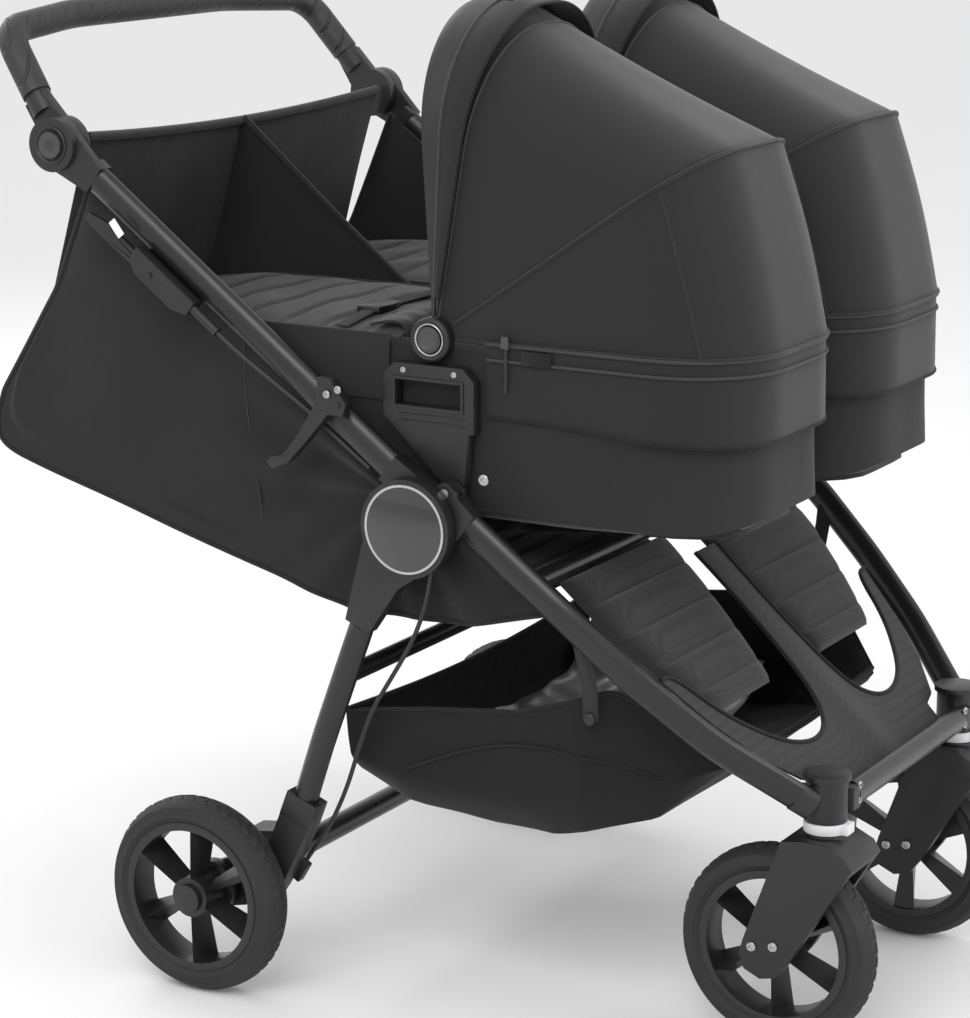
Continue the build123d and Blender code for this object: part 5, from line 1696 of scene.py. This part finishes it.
for label, sense in (("right", -1), ("left", 1)):
    fork_name = "fork_" + label
    low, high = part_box(fork_name)
    wheel = [row["node"] for row in record["subparts"]
             if row["material_slot"] == "tyre" and label in row["node"]]
    front = max(wheel, key=lambda name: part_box(name)[0].x)
    front_low, front_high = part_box(front)
    hub = (front_low + front_high) / 2
    for number, (dx, dz) in enumerate(((-0.014, 0.006), (0.010, 0.010))):
        for face, way in ((low.y, -1), (high.y, 1)):
            cap_screw("fork_screw_%d_%s_%s" % (number, "out" if way == sense else "in", label),
                      (hub.x + dx, face + way * 0.0002, hub.z + dz), (0, way, 0), 0.0052, 0.0028, fork_name)
    rear = min(wheel, key=lambda name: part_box(name)[0].x)
    rear_low, rear_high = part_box(rear)
    rear_hub = (rear_low + rear_high) / 2
    cap_low, cap_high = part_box("rear_cap_" + label) if "rear_cap_" + label in frame["nodes"] else (rear_low,
                                                            rear_high)
    face_y = cap_low.y if sense < 0 else cap_high.y
    turned("rear_cap_step_" + label, [(0, 0.0125), (0.0012, 0.0124), (0.0022, 0.0112), (0.0022, 0.0092),
                                      (0.0010, 0.0084), (0.0010, 0.0)],
           (rear_hub.x, face_y, rear_hub.z), (0, sense,
                                              0), FINISH["wheel_plastic"], BODY_OF[rear])
print("caps and screws:", len(made))

# %% Screws of the frame, the brake lever's window and the bolts of the casters
low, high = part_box("fold_knuckles")
hub = joint_place["fold"]
for label, sense in (("right", -1), ("left", 1)):
    cap_screw("knuckle_screw_" + label, (hub.x + 0.047, sense * (abs(low.y) + 0.0002), hub.z + 0.020),
              (0, sense, 0), 0.0058, 0.0026,
              "lower_frame")
caster_low, caster_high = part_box("caster_housings")
for label, sense in (("right", -1), ("left", 1)):
    for number, level in enumerate((0.30, 0.62)):
        cap_screw("caster_bolt_%d_%s" % (number, label),
                  (caster_high.x - 0.0035, sense * 0.148, mixed(caster_low.z, caster_high.z, level)), (1, 0,
                                                            0), 0.0044, 0.0026,
                  "lower_frame")
bracket_box_low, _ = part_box("brake_bracket")
WINDOW = moulded("white_window_plastic", 0.75, rough=0.4)
run = Vector((0.62, 0, -0.78)).normalized()
rise = Vector((0.78, 0, 0.62)).normalized()
start = Vector((-0.300, 0, 0.834))
corners = [start + run * a + rise * b for a, b in ((0.0, -0.0045), (0.020, -0.0045), (0.020, 0.0045),
                                                   (0.0, 0.0045))]
plate("brake_window_right", [(c.x, c.z) for c in corners], bracket_box_low.y - 0.0008,
      bracket_box_low.y + 0.0006, "Y", WINDOW,
      BODY_OF["brake_bracket"], bevel=0.0004)
hook_low, hook_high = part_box("latch_hook")
for number, share in enumerate((0.78, 0.92)):
    cap_screw("latch_screw_" + str(number), (mixed(hook_low.x, hook_high.x, share), hook_low.y + 0.0004,
              mixed(hook_low.z, hook_high.z, 0.90 if number else 0.84)), (0, -1,
                                                            0), 0.0042, 0.0020, BODY_OF["latch_hook"])
print("all pieces:", len(made))

# %% [markdown]
# ## Cloth in the fold
# When the frame folds, the seat's cloth crumples between the tubes. Here the panels, the wall and the
# divider, with their welts, are only given meshes of their own.

# %% Own meshes for the seat's cloth
SEAT_CLOTH = [name for name in made if name.startswith(("side_panel_", "seat_rear_wall", "seat_wall_",
                                                        "seat_divider", "divider_piping_"))]
for name in SEAT_CLOTH:
    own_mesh(bpy.data.objects[name])
print("pressed in the fold:", len(SEAT_CLOTH))

# %% [markdown]
# ## Sheet sizes
# The hoods', seat's and basket's sheets are listed with their flat size and what holds them, and their
# sizes are printed. The flat size is measured along the sheet, from the same function that lays it, and is
# not a cutting pattern. The carrycots' covers, linings, skirts and hood bands are not listed.

# %% What each sheet was cut to
HELD = {"hood_cloth_right": ("stretched", ["hood_hoop_right"]), "hood_cloth_left": ("stretched",
                                                            ["hood_hoop_left"]),
        "side_panel_right": ("hung", ["upper_tubes"]), "side_panel_left": ("hung", ["upper_tubes"]),
        "seat_rear_wall": ("hung", ["upper_tubes"]), "seat_divider": ("hung", ["seat_rear_wall"]),
        "basket_tub": ("hung", ["lower_tubes"]), "basket_rear": ("hung", ["basket_tub"]),
        "basket_front": ("hung", ["basket_tub"]), "basket_lining": ("laid", ["basket_tub"]),
        "footwell_apron_right": ("stretched", ["lower_tubes"]), "footwell_apron_left": ("stretched",
                                                            ["lower_tubes"])}
for name, (held, rests_on) in HELD.items():
    across, down, area = SPREAD[name if name in SPREAD else name.replace("_left", "_right")]
    if area < 0.3 * across * down:
        down = area / across    # a narrow strip round an opening: its mean width, by its length
    print("cut", name, round(across, 3), "x", round(down, 3), "area", round(area, 4))
